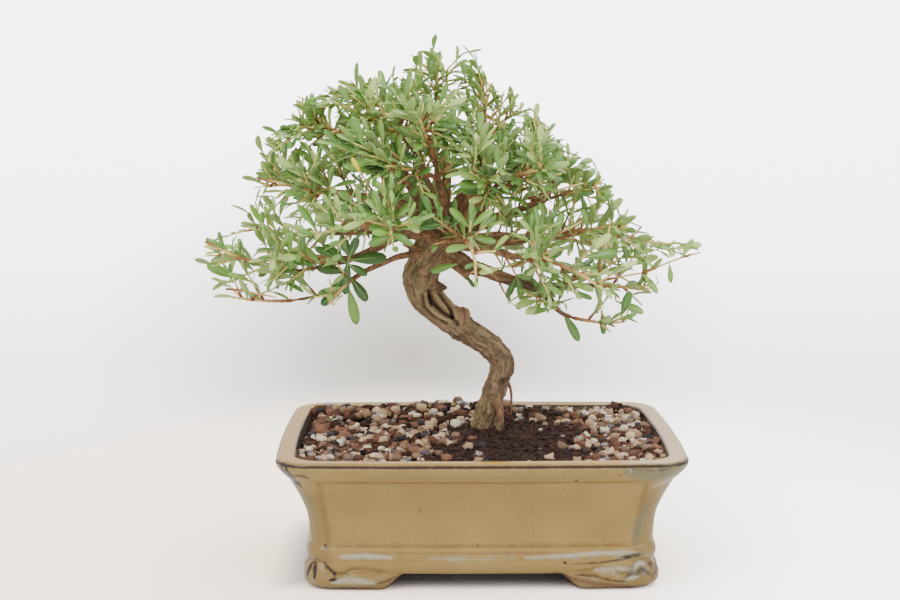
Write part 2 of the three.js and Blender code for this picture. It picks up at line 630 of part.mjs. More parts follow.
for (const { name, twigs, parts } of planned) {
  const kept = [twigs[0]];
  for (const twig of twigs.slice(1)) {
    if (kept.length > sideTwigsPerSpray) break;
    const stalk = twigSolid(twig.line, sideTwigRadius, twigTipRadius, 1);
    if (!isClear(name, stalk)) continue;
    take(name, stalk);
    parts.push(stalk);
    kept.push(twig);
  }
  // The tip pair of each twig comes first, so that the foliage reaches as far as the real one.
  const order = [];
  const most = Math.max(...kept.map((twig) => twig.leaves.length));
  for (let back = 1; back <= most; back++) {
    for (const twig of kept) {
      const leaf = twig.leaves[twig.leaves.length - back];
      if (leaf) order.push(leaf);
    }
  }
  let leafCount = 0;
  for (const leaf of order) {
    if (leafCount === leavesPerSpray) break;
    if (!isLeafClear(name, leaf)) continue;
    const blade = leafSolid(leaf);
    take(name, blade);
    parts.push(blade);
    leafCount += 1;
  }
}

const ball = rootBallShape(0).subtract(stem(trunkLine, 10, 16, 0.07, seatGap + 0.05));
const meshes = [
  node('pot', pot(), glaze.clone()),
  node('screen_left', screen(-drainSpacing / 2), netting.clone()),
  node('screen_right', screen(drainSpacing / 2), netting.clone()),
  node('grit', grit(), gravel.clone()),
  node('root_ball', largestPiece(ball), peat.clone()),
  node('trunk', tree, bark.clone()),
  ...planned.map(({ name, parts }) => node(name, joined(parts), foliage.clone())),
];

const bonsai = new THREE.Group();
bonsai.add(...meshes);
const extent = new THREE.Box3().setFromObject(bonsai, true);
const middle = extent.getCenter(new THREE.Vector3());
bonsai.position.set(-middle.x, -middle.y, -extent.min.z);

export default bonsai;
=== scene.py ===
import math

import bmesh
import bpy
import numpy as np
from mathutils import Matrix, Vector, noise


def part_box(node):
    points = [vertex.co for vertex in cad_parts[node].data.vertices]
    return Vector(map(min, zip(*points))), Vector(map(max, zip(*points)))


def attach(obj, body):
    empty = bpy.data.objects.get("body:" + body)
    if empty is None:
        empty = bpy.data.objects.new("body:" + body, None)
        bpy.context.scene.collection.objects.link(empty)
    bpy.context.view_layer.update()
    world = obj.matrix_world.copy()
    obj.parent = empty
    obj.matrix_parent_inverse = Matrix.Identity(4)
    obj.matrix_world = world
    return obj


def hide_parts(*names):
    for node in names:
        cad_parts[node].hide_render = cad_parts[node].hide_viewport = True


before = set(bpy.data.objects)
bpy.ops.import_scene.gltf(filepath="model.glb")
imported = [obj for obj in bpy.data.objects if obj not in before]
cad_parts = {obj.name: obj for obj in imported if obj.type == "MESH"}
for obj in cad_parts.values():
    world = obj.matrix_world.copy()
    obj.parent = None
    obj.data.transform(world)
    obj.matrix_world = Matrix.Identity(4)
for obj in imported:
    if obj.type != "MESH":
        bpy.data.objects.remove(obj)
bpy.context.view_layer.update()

# The pot: one rectangular piece of stoneware, pressed in a mould, with a wide rim, a panel on each side,
# a belt low on its body and four cloud-shaped feet. A thick mustard glaze covers it, pools pale on its
# ledges and breaks dark on its edges. Millimetres here are measured from the middle of the pot's foot.
mm = 0.001
pot_low, pot_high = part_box("pot")
pot_middle = Vector(((pot_low.x + pot_high.x) / 2, (pot_low.y + pot_high.y) / 2, 0))
rim_length, rim_depth = 212, 158
rim_corner_radius = 18
side_bow = 1.6
panel_recess, panel_half_length = 1.1, 78.8
apron_height, foot_band = 8.5, 13
foot_reach = {"long": 48, "short": 34.5}
glaze_ring_steps = [
    # inset from the rim, height
    (24.6, 9.2), (24.6, 8.2), (24.6, 1.2), (24.2, 0.3), (23.4, 0), (19.0, 0), (17.6, 0.3), (16.4, 1.1),
    (15.4, 2.2), (14.9, 3.3), (14.7, 4.2), (14.6, 5.0), (14.55, 5.8), (14.5, 6.6), (14.5, 7.4), (14.5, 8.2),
    (14.55, 9.0), (14.6, 9.8), (14.7, 10.6), (14.8, 11.4), (14.95, 12.2), (15.1, 13.0), (15.3, 13.8),
    (15.45, 14.5), (15.5, 15.2), (15.4, 15.9), (15.15, 16.8), (14.9, 17.8), (14.75, 19.0), (14.8, 20.2),
    (15.05, 21.3), (15.6, 22.4), (16.1, 23.2), (16.3, 23.9), (16.3, 25.5), (16.1, 28.5), (15.8, 32),
    (15.4, 36),
    (14.7, 40), (13.6, 43.5), (12.4, 46.6), (11.2, 49.4), (9.9, 52.2), (8.5, 55), (7.3, 57.2),
    (6.7, 58.4), (6.3, 59.2), (5.7, 59.8), (5.0, 60.3), (4.2, 61.2), (3.0, 62.7), (1.9, 64.1),
    (1.0, 65.4), (0.4, 66.6), (0.05, 67.6), (0.0, 68.3), (0.15, 69.0), (0.5, 69.7), (1.1, 70.2),
    (1.9, 70.5), (4.0, 70.6), (6.5, 70.5), (8.4, 70.3), (9.3, 69.9), (9.8, 69.2), (10.0, 68.0),
    (11.0, 65.8), (15.2, 56), (20.6, 40), (23.0, 18), (25.0, 13.5),
]


def smooth_share(low, high, value):
    """0 below low, 1 above high, and a smooth rise between them."""
    share = min(max((value - low) / (high - low), 0), 1)
    return share * share * (3 - 2 * share)


def outline_columns(long_count, short_count, corner_count):
    """The places round the pot: a side with its fraction from -1 to 1, or a corner with its angle."""
    columns = []
    for turn in range(4):
        count = long_count if turn % 2 else short_count
        for k in range(count):
            columns.append((turn, -1 + 2 * (k + 0.5) / count, None))
        for k in range(corner_count + 1):
            columns.append((turn, 1, (turn + k / corner_count) * math.pi / 2))
    return columns


def outline_spot(column, inset, recess=0):
    """The pot's outline seen from above, set in by an inset from the rim's."""
    turn, fraction, angle = column
    half_length, half_depth = rim_length / 2 - inset, rim_depth / 2 - inset
    radius = rim_corner_radius - 0.35 * min(inset, 24)
    if angle is not None:
        sign_x = 1 if turn in (0, 3) else -1
        sign_y = 1 if turn < 2 else -1
        return Vector((
            sign_x * (half_length - radius) + (radius - recess) * math.cos(angle),
            sign_y * (half_depth - radius) + (radius - recess) * math.sin(angle),
        ))
    along, out = (half_length - radius, half_depth) if turn % 2 else (half_depth - radius, half_length)
    out += side_bow * (1 - fraction * fraction) - recess
    quarter = turn * math.pi / 2
    spot = Vector((out, fraction * along))
    return Vector((
        spot.x * math.cos(quarter) - spot.y * math.sin(quarter),
        spot.x * math.sin(quarter) + spot.y * math.cos(quarter),
    ))


def add_skin(form, columns, rings, place):
    """A closed skin: a grid rolled up round its columns, whose every corner place() puts in its place."""
    made = bmesh.ops.create_grid(form, x_segments=columns, y_segments=rings - 1, size=1)["verts"]
    for vert in made:
        column = round((vert.co.x + 1) / 2 * columns) % columns
        ring = round((vert.co.y + 1) / 2 * (rings - 1))
        place(vert, column, ring)
    bmesh.ops.remove_doubles(form, verts=made, dist=0.0005)


def finished(name, form, finish):
    """An object made of a form that was drawn in millimetres from the middle of the pot's foot."""
    mesh = bpy.data.meshes.new(name)
    form.to_mesh(mesh)
    form.free()
    mesh.transform(Matrix.Translation(pot_middle) @ Matrix.Diagonal((mm, mm, mm, 1)))
    mesh.shade_smooth()
    mesh.materials.append(finish.owner)
    made = bpy.data.objects.new(name, mesh)
    bpy.context.scene.collection.objects.link(made)
    return made


class Wiring:
    """The nodes of a material, or of the sky, wired one to another."""

    def __init__(self, owner):
        owner.use_nodes = True
        self.owner = owner
        self.tree = owner.node_tree
        self.shader = self.tree.nodes.get("Principled BSDF")
        self.coordinates = self.node("TexCoord").outputs

    def node(self, kind, inputs=(), **settings):
        """A new node with its settings and what its inputs are given."""
        made = self.tree.nodes.new("ShaderNode" + kind)
        for setting, value in settings.items():
            setattr(made, setting, value)
        for socket, value in dict(inputs).items():
            self.put(made, socket, value)
        return made

    def put(self, made, socket, value):
        """Gives an input of a node its value, its colour or the output that feeds it."""
        if isinstance(value, bpy.types.NodeSocket):
            self.tree.links.new(value, made.inputs[socket])
        else:
            made.inputs[socket].default_value = value

    def number(self, operation, first, second=0.0, clamp=False):
        """A sum, or another operation on one or two numbers."""
        return self.node("Math", {0: first, 1: second}, operation=operation, use_clamp=clamp).outputs[0]

    def times(self, first, second):
        """Two numbers multiplied."""
        return self.number("MULTIPLY", first, second)

    def rise(self, value, low, high):
        """0 where a value is low, 1 where it is high, and even between them."""
        return self.node("MapRange", {"From Min": low, "From Max": high, "Value": value}).outputs["Result"]

    def axes(self, vector):
        """The three parts of a vector."""
        return self.node("SeparateXYZ", {"Vector": vector}).outputs

    def noise(self, scale, detail, roughness=0.5, vector=None):
        """Soft mottling over the piece, as 0 to 1."""
        vector = self.coordinates["Object"] if vector is None else vector
        inputs = {"Scale": scale, "Detail": detail, "Roughness": roughness, "Vector": vector}
        return self.node("TexNoise", inputs).outputs["Fac"]

    def stored(self, layer, output):
        """What a layer of the mesh holds."""
        return self.node("Attribute", attribute_name=layer).outputs[output]

    def painted(self, layer):
        """The red, green, blue and alpha of a colour layer of the mesh."""
        split = self.node("SeparateColor", {"Color": self.stored(layer, "Color")})
        return *split.outputs, self.stored(layer, "Alpha")

    def ramp(self, source, *stops):
        """Colours along a source, each a stop of (position, colour)."""
        made = self.node("ValToRGB", {"Fac": source})
        elements = made.color_ramp.elements
        while len(elements) < len(stops):
            elements.new(0.5)
        for element, (position, colour) in zip(elements, stops):
            element.position = position
            element.color = (*colour, 1)
        return made.outputs["Color"]

    def fade(self, source, start, end, low=0, high=1):
        """A grey that runs from low at the start to high at the end."""
        return self.ramp(source, (start, (low, low, low)), (end, (high, high, high)))

    def blended(self, share, first, second, mode="MIX"):
        """Two colours, mixed by a share of the second."""
        made = self.node("Mix", data_type="RGBA", blend_type=mode)
        for socket, value in ((0, share), (6, first), (7, second)):
            self.put(made, socket, (*value, 1) if isinstance(value, tuple) else value)
        return made.outputs[2]

    def surface(self, tone, roughness, gloss, *reliefs):
        """Joins up the shader. Each relief is (strength, height in metres, source), the coarsest first."""
        self.put(self.shader, "Base Color", tone)
        self.put(self.shader, "Roughness", roughness)
        self.put(self.shader, "Specular IOR Level", gloss)
        normal = None
        for strength, distance, source in reliefs:
            bump = self.node("Bump", {"Strength": strength, "Distance": distance, "Height": source})
            if normal is not None:
                self.put(bump, "Normal", normal)
            normal = bump.outputs["Normal"]
        self.put(self.shader, "Normal", normal)


def new_finish(name):
    """A material to be wired."""
    return Wiring(bpy.data.materials.new(name))


pot_columns = outline_columns(150, 104, 16)
pot_form = bmesh.new()
marks = pot_form.verts.layers.float_color.new("glaze_marks")
shades = pot_form.verts.layers.float_color.new("glaze_shades")


def foot_distance(column):
    """How far along its side a place lies from the nearer corner, in millimetres, and how near the arch."""
    turn, fraction, angle = column
    if angle is not None:
        return 0, 0
    side = "long" if turn % 2 else "short"
    half = (rim_length if turn % 2 else rim_depth) / 2 - 18.5
    along = half - abs(fraction) * (half - 11.5)
    reach = foot_reach[side]
    return along, smooth_share(reach - 12, reach, along)


def along_pot(x, y):
    """How far along the pot's side a place lies from its middle, for the strokes and the carving."""
    faces_long = abs(y) - rim_depth / 2 > abs(x) - rim_length / 2
    along = abs(x) if faces_long else abs(y) + (rim_length - rim_depth) / 2
    return -math.copysign(1, x) * math.copysign(1, y) * along


def line_gap(place, points):
    """How far a place lies from a line of points, and how far along the line its nearest point is."""
    best, travelled = (1e9, 0), 0
    length = sum(math.dist(a, b) for a, b in zip(points, points[1:]))
    for start, end in zip(points, points[1:]):
        run_x, run_z = end[0] - start[0], end[1] - start[1]
        size = math.hypot(run_x, run_z)
        share = ((place[0] - start[0]) * run_x + (place[1] - start[1]) * run_z) / size ** 2
        share = min(max(share, 0), 1)
        gap = math.hypot(place[0] - start[0] - share * run_x, place[1] - start[1] - share * run_z)
        if gap < best[0]:
            best = (gap, (travelled + share * size) / length)
        travelled += size
    return best


foot_scroll = (
    (94, 14.6), (85, 14.9), (81.8, 14.2), (79, 11.8), (75.6, 8.9), (71.5, 8.5), (69.4, 9.6), (67.6, 11.2),
    (61.1, 11.4), (54.2, 10.2), (47, 9.4), (40, 9.3),
)
widest_ring = glaze_ring_steps.index((0.0, 68.3))


def place_on_pot(vert, column_number, ring):
    """Puts one corner of the pot's skin in its place, and marks how the glaze lies there and where light and
    shade are painted on it.
    """
    column = pot_columns[column_number]
    inset, height = glaze_ring_steps[ring]
    given = height
    from_corner, arch = foot_distance(column)
    is_wall = 4 < ring < widest_ring
    if height < foot_band:
        lift = apron_height * arch
        height = lift + height * (foot_band - lift) / foot_band
    along = abs(along_pot(*outline_spot(column, inset)))
    edge = panel_half_length + 0.13 * (given - 25)
    panel = 1 - smooth_share(edge - 2.2, edge + 2.2, along)
    panel_height = smooth_share(22.2, 24.6, given) * (1 - smooth_share(58.6, 60.2, given))
    recess = panel_recess * panel * panel_height if is_wall else 0
    scroll = 0.0
    if is_wall and given < 19:
        bulge = 1.4 * (1 - arch) * smooth_share(0, 4, given) * (1 - smooth_share(7, 14, given))
        gap, _ = line_gap((along, height), foot_scroll)
        scroll = math.exp(-(gap / 1.15) ** 2)
        over = smooth_share(0.4, 2.2, gap) * bulge
        recess += 1.15 * scroll * (1 - smooth_share(36, 42, from_corner)) - over
    spot = outline_spot(column, inset, recess)
    wobble = 0.25 * noise.noise(Vector((spot.x, spot.y, height)) * 0.035)
    outward = spot.normalized() * wobble
    vert.co = (spot.x + outward.x, spot.y + outward.y, height)
    rim_edge = math.exp(-((given - 69.0) / 0.85) ** 2) if widest_ring - 6 < ring < widest_ring + 4 else 0
    ledge = math.exp(-((given - 17.4) / 1.5) ** 2) if is_wall else 0
    foot_pool = math.exp(-((given - 5.5) / 2.2) ** 2) * (1 - arch) if is_wall else 0
    side_edge = 4 * panel * (1 - panel)
    level_edge = 4 * panel_height * (1 - panel_height) * (1 - smooth_share(72, 80, along))
    border = max(0.7 * side_edge * panel_height, level_edge * panel) if is_wall else 0
    bare = 1 - smooth_share(0.2, 1.4, given) if 1 < ring < 10 else 0
    vert[marks] = (rim_edge, max(0.45 * ledge, 0.35 * foot_pool), border, bare)
    inner_wall = 1 if ring > widest_ring + 9 else 0.5 if ring > widest_ring + 7 else 0
    # The rim's upper face is marked for painted light.
    rim_top = (0.8 if spot.y > 60 else 0.4) if widest_ring + 3 < ring < widest_ring + 9 else 0
    # Painted shade: the corner pillars low on the body, the feet and the pot's underside, and the carved
    # scrolls are marked to be darkened.
    painted_pillar_shade = (1 - panel) * (1 - smooth_share(48, 60, given)) if is_wall else 0
    foot = 1 - smooth_share(11, 16, given) if ring < widest_ring else 0
    worked = 1 if is_wall or widest_ring - 2 < ring < widest_ring + 4 else 0
    vert[shades] = (inner_wall, max(painted_pillar_shade, foot, 0.9 * scroll), worked, rim_top)


add_skin(pot_form, len(pot_columns), len(glaze_ring_steps), place_on_pot)
drain_spacing, drain_radius = 90, 7
floor_underside, floor_top = 10.2, 13.5
floor_edges = [edge for edge in pot_form.edges if edge.is_boundary]
drain_rings = []
for level in (floor_underside, floor_top):
    at_top = level == floor_top
    outline = [edge for edge in floor_edges if (edge.verts[0].co.z > floor_top - 0.7) == at_top]
    for side in (-1, 1):
        ring = bmesh.ops.create_circle(
            pot_form, segments=28, radius=drain_radius,
            matrix=Matrix.Translation((side * drain_spacing / 2, 0, level)))["verts"]
        drain_rings.append([edge for edge in pot_form.edges if all(vert in ring for vert in edge.verts)])
    bmesh.ops.triangle_fill(
        pot_form, use_beauty=True, edges=outline + drain_rings[-1] + drain_rings[-2], normal=(0, 0, 1))
for below, above in ((0, 2), (1, 3)):
    bmesh.ops.bridge_loops(pot_form, edges=drain_rings[below] + drain_rings[above])
bmesh.ops.recalc_face_normals(pot_form, faces=pot_form.faces)

# Where the glaze ran or pooled: strokes by their place along the front from its middle and their height,
# with two painted glints and a painted shade among them. The other sides carry the same strokes, turned
# round the corners. A stroke thins out to both its ends.
glaze_strokes = {
    # strokes of (half width, strength, points)
    "dark": [
        (1.1, 0.95, ((-104, 71.5), (-99.7, 69), (-99, 66), (-96.8, 62.5), (-92, 55.5))),
        (1.2, 0.7, ((-96, 64.4), (-87.5, 63))), (1.1, 1.0, ((-86, 14.3), (-86.4, 9.7), (-86.8, 6.4))),
        (0.9, 0.85, ((-82.3, 15.4), (-79.4, 12), (-76.4, 9.2))), (1.0, 1.0, ((-76.9, 9.4), (-75.2, 8.7))),
        (0.8, 0.42, ((-76, 8.7), (-71.5, 8.2), (-68, 11.2), (-61.1, 11.3), (-54.2, 9.9), (-45.2, 8.8))),
        (1.0, 1.0, ((-78.6, 6.2), (-75.2, 6.8))), (0.9, 1.0, ((-80.9, 23.8), (-80.5, 21.9))),
        (0.9, 0.7, ((-73, 2), (-66, 1.2), (-61.1, 1.6))), (0.9, 0.6, ((-55, 4.6), (-50, 5.6), (-44, 8))),
        (0.9, 0.65, ((45, 14.0), (61.1, 14.6), (75, 16.6), (82, 18.4))),
        (1.3, 0.7, ((72, 17.4), (82, 19.4))),
        (0.9, 0.9, ((42.0, 15.2), (43.4, 14.2))), (1.6, 0.62, ((73, 6.2), (78, 9.4), (83, 11), (88, 7))),
        (0.9, 0.7, ((47, 8.6), (57.6, 8.4), (66, 5.8), (75, 4.6))),
        (1.3, 0.6, ((86, 13.5), (89.6, 9.5), (88, 5))),
        (0.8, 1.0, ((46.4, 60.9), (47.9, 60.6))), (0.8, 1.0, ((61.5, 63.5), (63.1, 63.6))),
        (0.8, 1.0, ((68.3, 63.8), (69.9, 63.7))), (1.0, 0.55, ((74, 67.6), (88, 66.8), (98, 68.4))),
        (0.7, 0.75, ((-29.2, 62), (-28.2, 61.8))), (0.6, 0.8, ((-103, 66.8), (-101, 66))),
    ],
    "pale": [
        (1.3, 0.85, ((-74, 18.2), (-60, 18.5), (-47, 17.9))),
        (0.8, 0.5, ((-30, 17.4), (-14, 16.9), (6, 16.7))),
        (1.2, 0.75, ((22, 17.6), (47.2, 18.9), (62, 19.9), (80, 19.6))),
        (1.5, 0.6, ((62, 19.4), (79, 20.2))),
        (1.9, 0.72, ((-77, 5.2), (-66, 6.0), (-56, 5.0))), (1.9, 0.6, ((58, 10.8), (67, 11.4), (78, 10.6))),
        (1.0, 0.95, ((78.5, 11.4), (81, 14.2), (84, 13.4))), (0.9, 0.8, ((74, 6.4), (80, 7.4))),
        # Two thin pale strokes at the rim's right corner: painted glints, painted highlights.
        (0.45, 1.0, ((73.6, 69.2), (74.2, 65.4))), (0.45, 0.9, ((86.4, 68.4), (86.9, 65.6))),
        (1.4, 0.5, ((99, 62), (92, 58), (86, 56.5))),
    ],
    "brown": [
        (0.8, 0.62, ((-84, 20.9), (-30, 20.3), (30, 20.3), (84, 21.2))),
        (1.6, 0.85, ((37, 10), (44, 7.2), (57.6, 4.4), (70, 2.0), (84, 1.6))),
        (1.2, 0.5, ((-45, 8.4), (-52, 4), (-64, 1.2), (-80, 1))),
        (0.6, 0.8, ((-52.8, 34.1), (-51.9, 34))), (0.7, 0.9, ((-3, 23.2), (-2, 24.4))),
        (0.5, 0.8, ((-71.7, 29.8), (-70.9, 30))), (0.5, 0.8, ((-33, 43.6), (-32.2, 43.5))),
    ],
    "green": [
        # The second green stroke, up the right corner pillar, is painted shade.
        (4.6, 0.85, ((72, 66), (86, 64.6), (104, 66))), (2.6, 0.7, ((78.6, 24), (80.6, 34), (85, 46))),
        (2.4, 0.5, ((-95, 57), (-90, 48), (-87, 38))), (2.0, 0.6, ((70, 18), (84, 18.4))),
        (3.4, 0.6, ((76, 12), (86, 9))), (1.4, 0.45, ((-60, 62.4), (-20, 62.8), (40, 62.6), (60, 63))),
    ],
}
stroke_layer = pot_form.verts.layers.float_color.new("glaze_strokes")
for vert in pot_form.verts:
    if not vert[shades][2]:
        continue
    place = (along_pot(vert.co.x, vert.co.y), vert.co.z)
    covers = []
    for strokes in glaze_strokes.values():
        cover = 0.0
        for half_width, strength, points in strokes:
            if min(point[0] for point in points) - 8 < place[0] < max(point[0] for point in points) + 8:
                gap, share = line_gap(place, points)
                tapered = half_width * (0.45 + 0.55 * math.sin(math.pi * share))
                cover = max(cover, strength * math.exp(-0.7 * (gap / tapered) ** 2))
        covers.append(cover)
    vert[stroke_layer] = covers

glaze = new_finish("mustard_glaze")
dark_edge, pool, border, bare = glaze.painted("glaze_marks")
inner_wall, thin, _, rim_top = glaze.painted("glaze_shades")
dark_stroke, pale_stroke, brown_stroke, green_stroke = glaze.painted("glaze_strokes")
cloudy = glaze.noise(38, 5, 0.6)
fine = glaze.noise(900, 3)
patchy = glaze.noise(130, 4, 0.65)
ragged = glaze.noise(330, 4, 0.62)


def brushed(cover, strength, soft):
    """A stroke whose edge is as ragged as run glaze."""
    frayed = glaze.number("ADD", cover, glaze.times(glaze.number("SUBTRACT", ragged, 0.5), 0.7))
    return glaze.times(glaze.fade(frayed, 0.5 - soft, 0.5 + soft), strength)


body = glaze.ramp(
    cloudy, (0.3, (0.33, 0.205, 0.056)), (0.5, (0.385, 0.245, 0.070)), (0.72, (0.43, 0.28, 0.088)))
body = glaze.blended(
    0.3, body, glaze.ramp(fine, (0.35, (0.30, 0.19, 0.055)), (0.65, (0.46, 0.30, 0.10))))
# Painted shade: browner on the corner pillars, on the feet and underside, and in the carved scrolls.
body = glaze.blended(glaze.times(thin, 0.5), body, (0.21, 0.13, 0.04))
pooled = glaze.times(pool, glaze.fade(patchy, 0.46, 0.62))
body = glaze.blended(glaze.times(pooled, 0.8), body, (0.44, 0.46, 0.38))
bordered = glaze.times(border, glaze.fade(patchy, 0.3, 0.6, 0.25, 0.8))
body = glaze.blended(bordered, body, (0.19, 0.105, 0.035))
body = glaze.blended(brushed(green_stroke, 0.75, 0.4), body, (0.135, 0.165, 0.105))
body = glaze.blended(brushed(brown_stroke, 0.7, 0.25), body, (0.16, 0.068, 0.028))
body = glaze.blended(brushed(pale_stroke, 0.75, 0.36), body, (0.56, 0.56, 0.46))
dark = glaze.number("MAXIMUM", brushed(dark_stroke, 0.95, 0.22), brushed(dark_edge, 0.95, 0.2))
body = glaze.blended(dark, body, glaze.blended(ragged, (0.008, 0.006, 0.012), (0.045, 0.020, 0.020)))
pores = glaze.node("TexVoronoi", {"Scale": 80, "Randomness": 1, "Vector": glaze.coordinates["Object"]})
pinholes = glaze.number("LESS_THAN", pores.outputs["Distance"], 0.03)
body = glaze.blended(glaze.times(pinholes, 0.6), body, (0.06, 0.04, 0.03))
body = glaze.blended(glaze.times(inner_wall, 0.9), body, (0.13, 0.105, 0.062))
# The rim's top carries painted light: a painted highlight of deep gold in front, a paler painted sheen at
# the short sides, and painted shade that makes it browner at the back.
rim_x, rim_y, _ = glaze.axes(glaze.coordinates["Object"])
along_rim = glaze.number("ABSOLUTE", rim_x)
short_side = glaze.rise(along_rim, 0.086, 0.096)
at_back = glaze.times(
    glaze.number("GREATER_THAN", rim_y, 0.068), glaze.number("LESS_THAN", along_rim, 0.099))
rim_painted_light = glaze.blended(
    at_back, glaze.blended(short_side, (0.60, 0.34, 0.06), (0.74, 0.50, 0.25)), (0.36, 0.26, 0.14))
body = glaze.blended(glaze.number("GREATER_THAN", rim_top, 0.2), body, rim_painted_light)
# A thin dark line runs along the rim's inner edge too, where the wall's shade starts.
inner_edge = glaze.times(inner_wall, glaze.number("SUBTRACT", 1.0, inner_wall))
inner_line = glaze.fade(glaze.times(inner_edge, 4.0), 0.4, 0.9, 0, 0.8)
body = glaze.blended(inner_line, body, (0.040, 0.032, 0.034))
body = glaze.blended(bare, body, (0.12, 0.05, 0.03))
rough = glaze.number("ADD", glaze.times(bare, 0.5), 0.2)
glaze.surface(body, rough, 0.33, (0.12, 0.0006, patchy), (0.05, 0.0002, fine))
glaze.shader.inputs["Coat Weight"].default_value = 0.1
glaze.shader.inputs["Coat Roughness"].default_value = 0.06

glazed_pot = finished("glazed_pot", pot_form, glaze)
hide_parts("pot")
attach(glazed_pot, "root")

# The screens: two squares of thin black plastic netting, laid over the drain holes in the pot's floor
# so that the grit stays in. They lie loose and the weight of the grit holds them.
screen_size, screen_thickness = 26, 1.2
screen_rest = floor_top + 0.35

plastic = new_finish("black_netting")
dust = plastic.noise(300, 4)
tone = plastic.ramp(dust, (0.4, (0.012, 0.012, 0.013)), (0.75, (0.06, 0.055, 0.05)))
plastic.surface(tone, 0.5, 0.5, (0.2, 0.0002, dust))

for side, node_name in ((-1, "screen_left"), (1, "screen_right")):
    net = bmesh.new()
    bmesh.ops.create_grid(net, x_segments=10, y_segments=10, size=screen_size / 2 - 0.4)
    bmesh.ops.wireframe(
        net, faces=net.faces, thickness=0.7, offset=0, use_replace=True, use_boundary=True,
        use_even_offset=True, use_crease=False, crease_weight=0, use_relative_offset=False,
        material_offset=0,
    )
    level = screen_rest + screen_thickness / 2
    bmesh.ops.translate(net, verts=net.verts, vec=(side * drain_spacing / 2, 0, level))
    netting = finished("netting_" + node_name.split("_")[1], net, plastic)
    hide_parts(node_name)
    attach(netting, "root")

# The potting mix: pumice, fired clay and dark gravel, sieved to a few millimetres and poured in round the
# root ball, with fine dust between the grains, painted near black as the shade in the gaps. It mounds up
# round the trunk and over the back rim.
soil_edge = 65.2


def soil_height(x, y):
    """The height of the soil's top at a place."""
    round_trunk = 4.2 * math.exp(-((x / 56) ** 2 + ((y - 18) / 42) ** 2))
    back_mound = 3.6 * math.exp(-(((x + 20) / 50) ** 2 + ((y - 60) / 22) ** 2))
    against_walls = 2.6 * smooth_share(30, 66, y) + 2.2 * smooth_share(62, 92, abs(x))
    return soil_edge + round_trunk + back_mound + against_walls


ball_middle, ball_reach = (19, 3), (40, 31)


def ball_wave(angle):
    """How the root ball's edge waves in and out on its way round."""
    return 1 + 0.08 * math.sin(3 * angle + 0.6) + 0.05 * math.sin(5 * angle)


def ball_share(x, y):
    """How far out a place lies from the middle of the root ball: 1 is its edge."""
    dx, dy = (x - ball_middle[0]) / ball_reach[0], (y - ball_middle[1]) / ball_reach[1]
    return math.hypot(dx, dy) / ball_wave(math.atan2(dy, dx))


def spill_share(x, y):
    """How much loose peat from the root ball lies over the grit at a place, from 0 to 1."""
    wave = 0.3 * noise.noise(Vector((x, y, 2)) * 0.07) + 0.2 * noise.noise(Vector((x, y, 6)) * 0.22)
    front = math.hypot((x - 13) / 43, (y + 40) / 33) + wave
    behind = math.hypot((x - 33) / 22, (y - 44) / 26) + wave
    return max(1 - smooth_share(0.85, 1.12, front), 0.85 * (1 - smooth_share(0.75, 1.1, behind)))


soil_columns = outline_columns(64, 46, 6)
soil_rings = [(10.8, share) for share in (0.001, *np.linspace(0.03, 1, 44))]
soil_sides = [(11.4, 63), (15.7, 56), (21, 40), (23.4, 18), (25.4, 15.1)]
soil_form = bmesh.new()
spilled = soil_form.verts.layers.float.new("spilled_peat")


def place_on_soil(vert, column_number, ring):
    """Puts one corner of the soil's skin in its place, rough on top and plain at its sides."""
    column = soil_columns[column_number]
    if ring < len(soil_rings):
        inset, share = soil_rings[ring]
        spot = outline_spot(column, inset) * share
        rough = noise.noise(Vector((spot.x, spot.y, 3)) * 0.22)
        rough += 0.6 * noise.noise(Vector((spot.x, spot.y, 9)) * 0.6)
        spill = spill_share(spot.x, spot.y) * (1 - smooth_share(0.93, 0.99, share))
        clods = 0.9 * noise.noise(Vector((spot.x, spot.y, 4)) * 0.4)
        vert.co = (spot.x, spot.y, soil_height(spot.x, spot.y) - 1.6 + 0.8 * rough + spill * (1.3 + clods))
        vert[spilled] = spill
    else:
        inset, height = soil_sides[ring - len(soil_rings)]
        spot = outline_spot(column, inset)
        vert.co = (spot.x, spot.y, height)


add_skin(soil_form, len(soil_columns), len(soil_rings) + len(soil_sides), place_on_soil)
bmesh.ops.holes_fill(soil_form, edges=[edge for edge in soil_form.edges if edge.is_boundary], sides=0)
bmesh.ops.recalc_face_normals(soil_form, faces=soil_form.faces)

dust_and_gap_shade = new_finish("dust_and_painted_gap_shade")
crumbs = dust_and_gap_shade.noise(420, 6, 0.7)
# Painted shade: the dust is near black, as the shade in the gaps between the grains; where peat has spilled
# it takes the peat's browner tone.
tone = dust_and_gap_shade.ramp(
    crumbs, (0.35, (0.010, 0.006, 0.004)), (0.55, (0.035, 0.016, 0.010)), (0.75, (0.09, 0.042, 0.025)))
peaty = dust_and_gap_shade.ramp(
    crumbs, (0.35, (0.022, 0.016, 0.015)), (0.55, (0.062, 0.036, 0.030)), (0.75, (0.14, 0.074, 0.057)))
tone = dust_and_gap_shade.blended(dust_and_gap_shade.stored("spilled_peat", "Fac"), tone, peaty)
dust_and_gap_shade.surface(tone, 0.95, 0.1, (0.8, 0.001, crumbs))

fine_soil = finished("fine_soil", soil_form, dust_and_gap_shade)
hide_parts("grit")
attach(fine_soil, "root")

# The grains themselves. Pumice is cream and tan and pitted, fired clay is rusty and rounded, and the
# gravel is sharp, dark or pale grey. Each lies as it fell, half bedded in those under it.
draw = np.random.default_rng(11)


def grain_finish(name, stops, pits, roughness):
    """The stone of one kind of grain, from its darkest tone to its palest, with pits as deep as given."""
    stone = new_finish(name)
    speck = stone.noise(1400, 4, 0.7)
    mixed = stone.number(
        "ADD", stone.times(stone.stored("grain_tone", "Fac"), 0.8), stone.times(speck, 0.35))
    stone.surface(stone.ramp(mixed, *stops), roughness, 0.2, (pits, 0.0006, speck))
    return stone


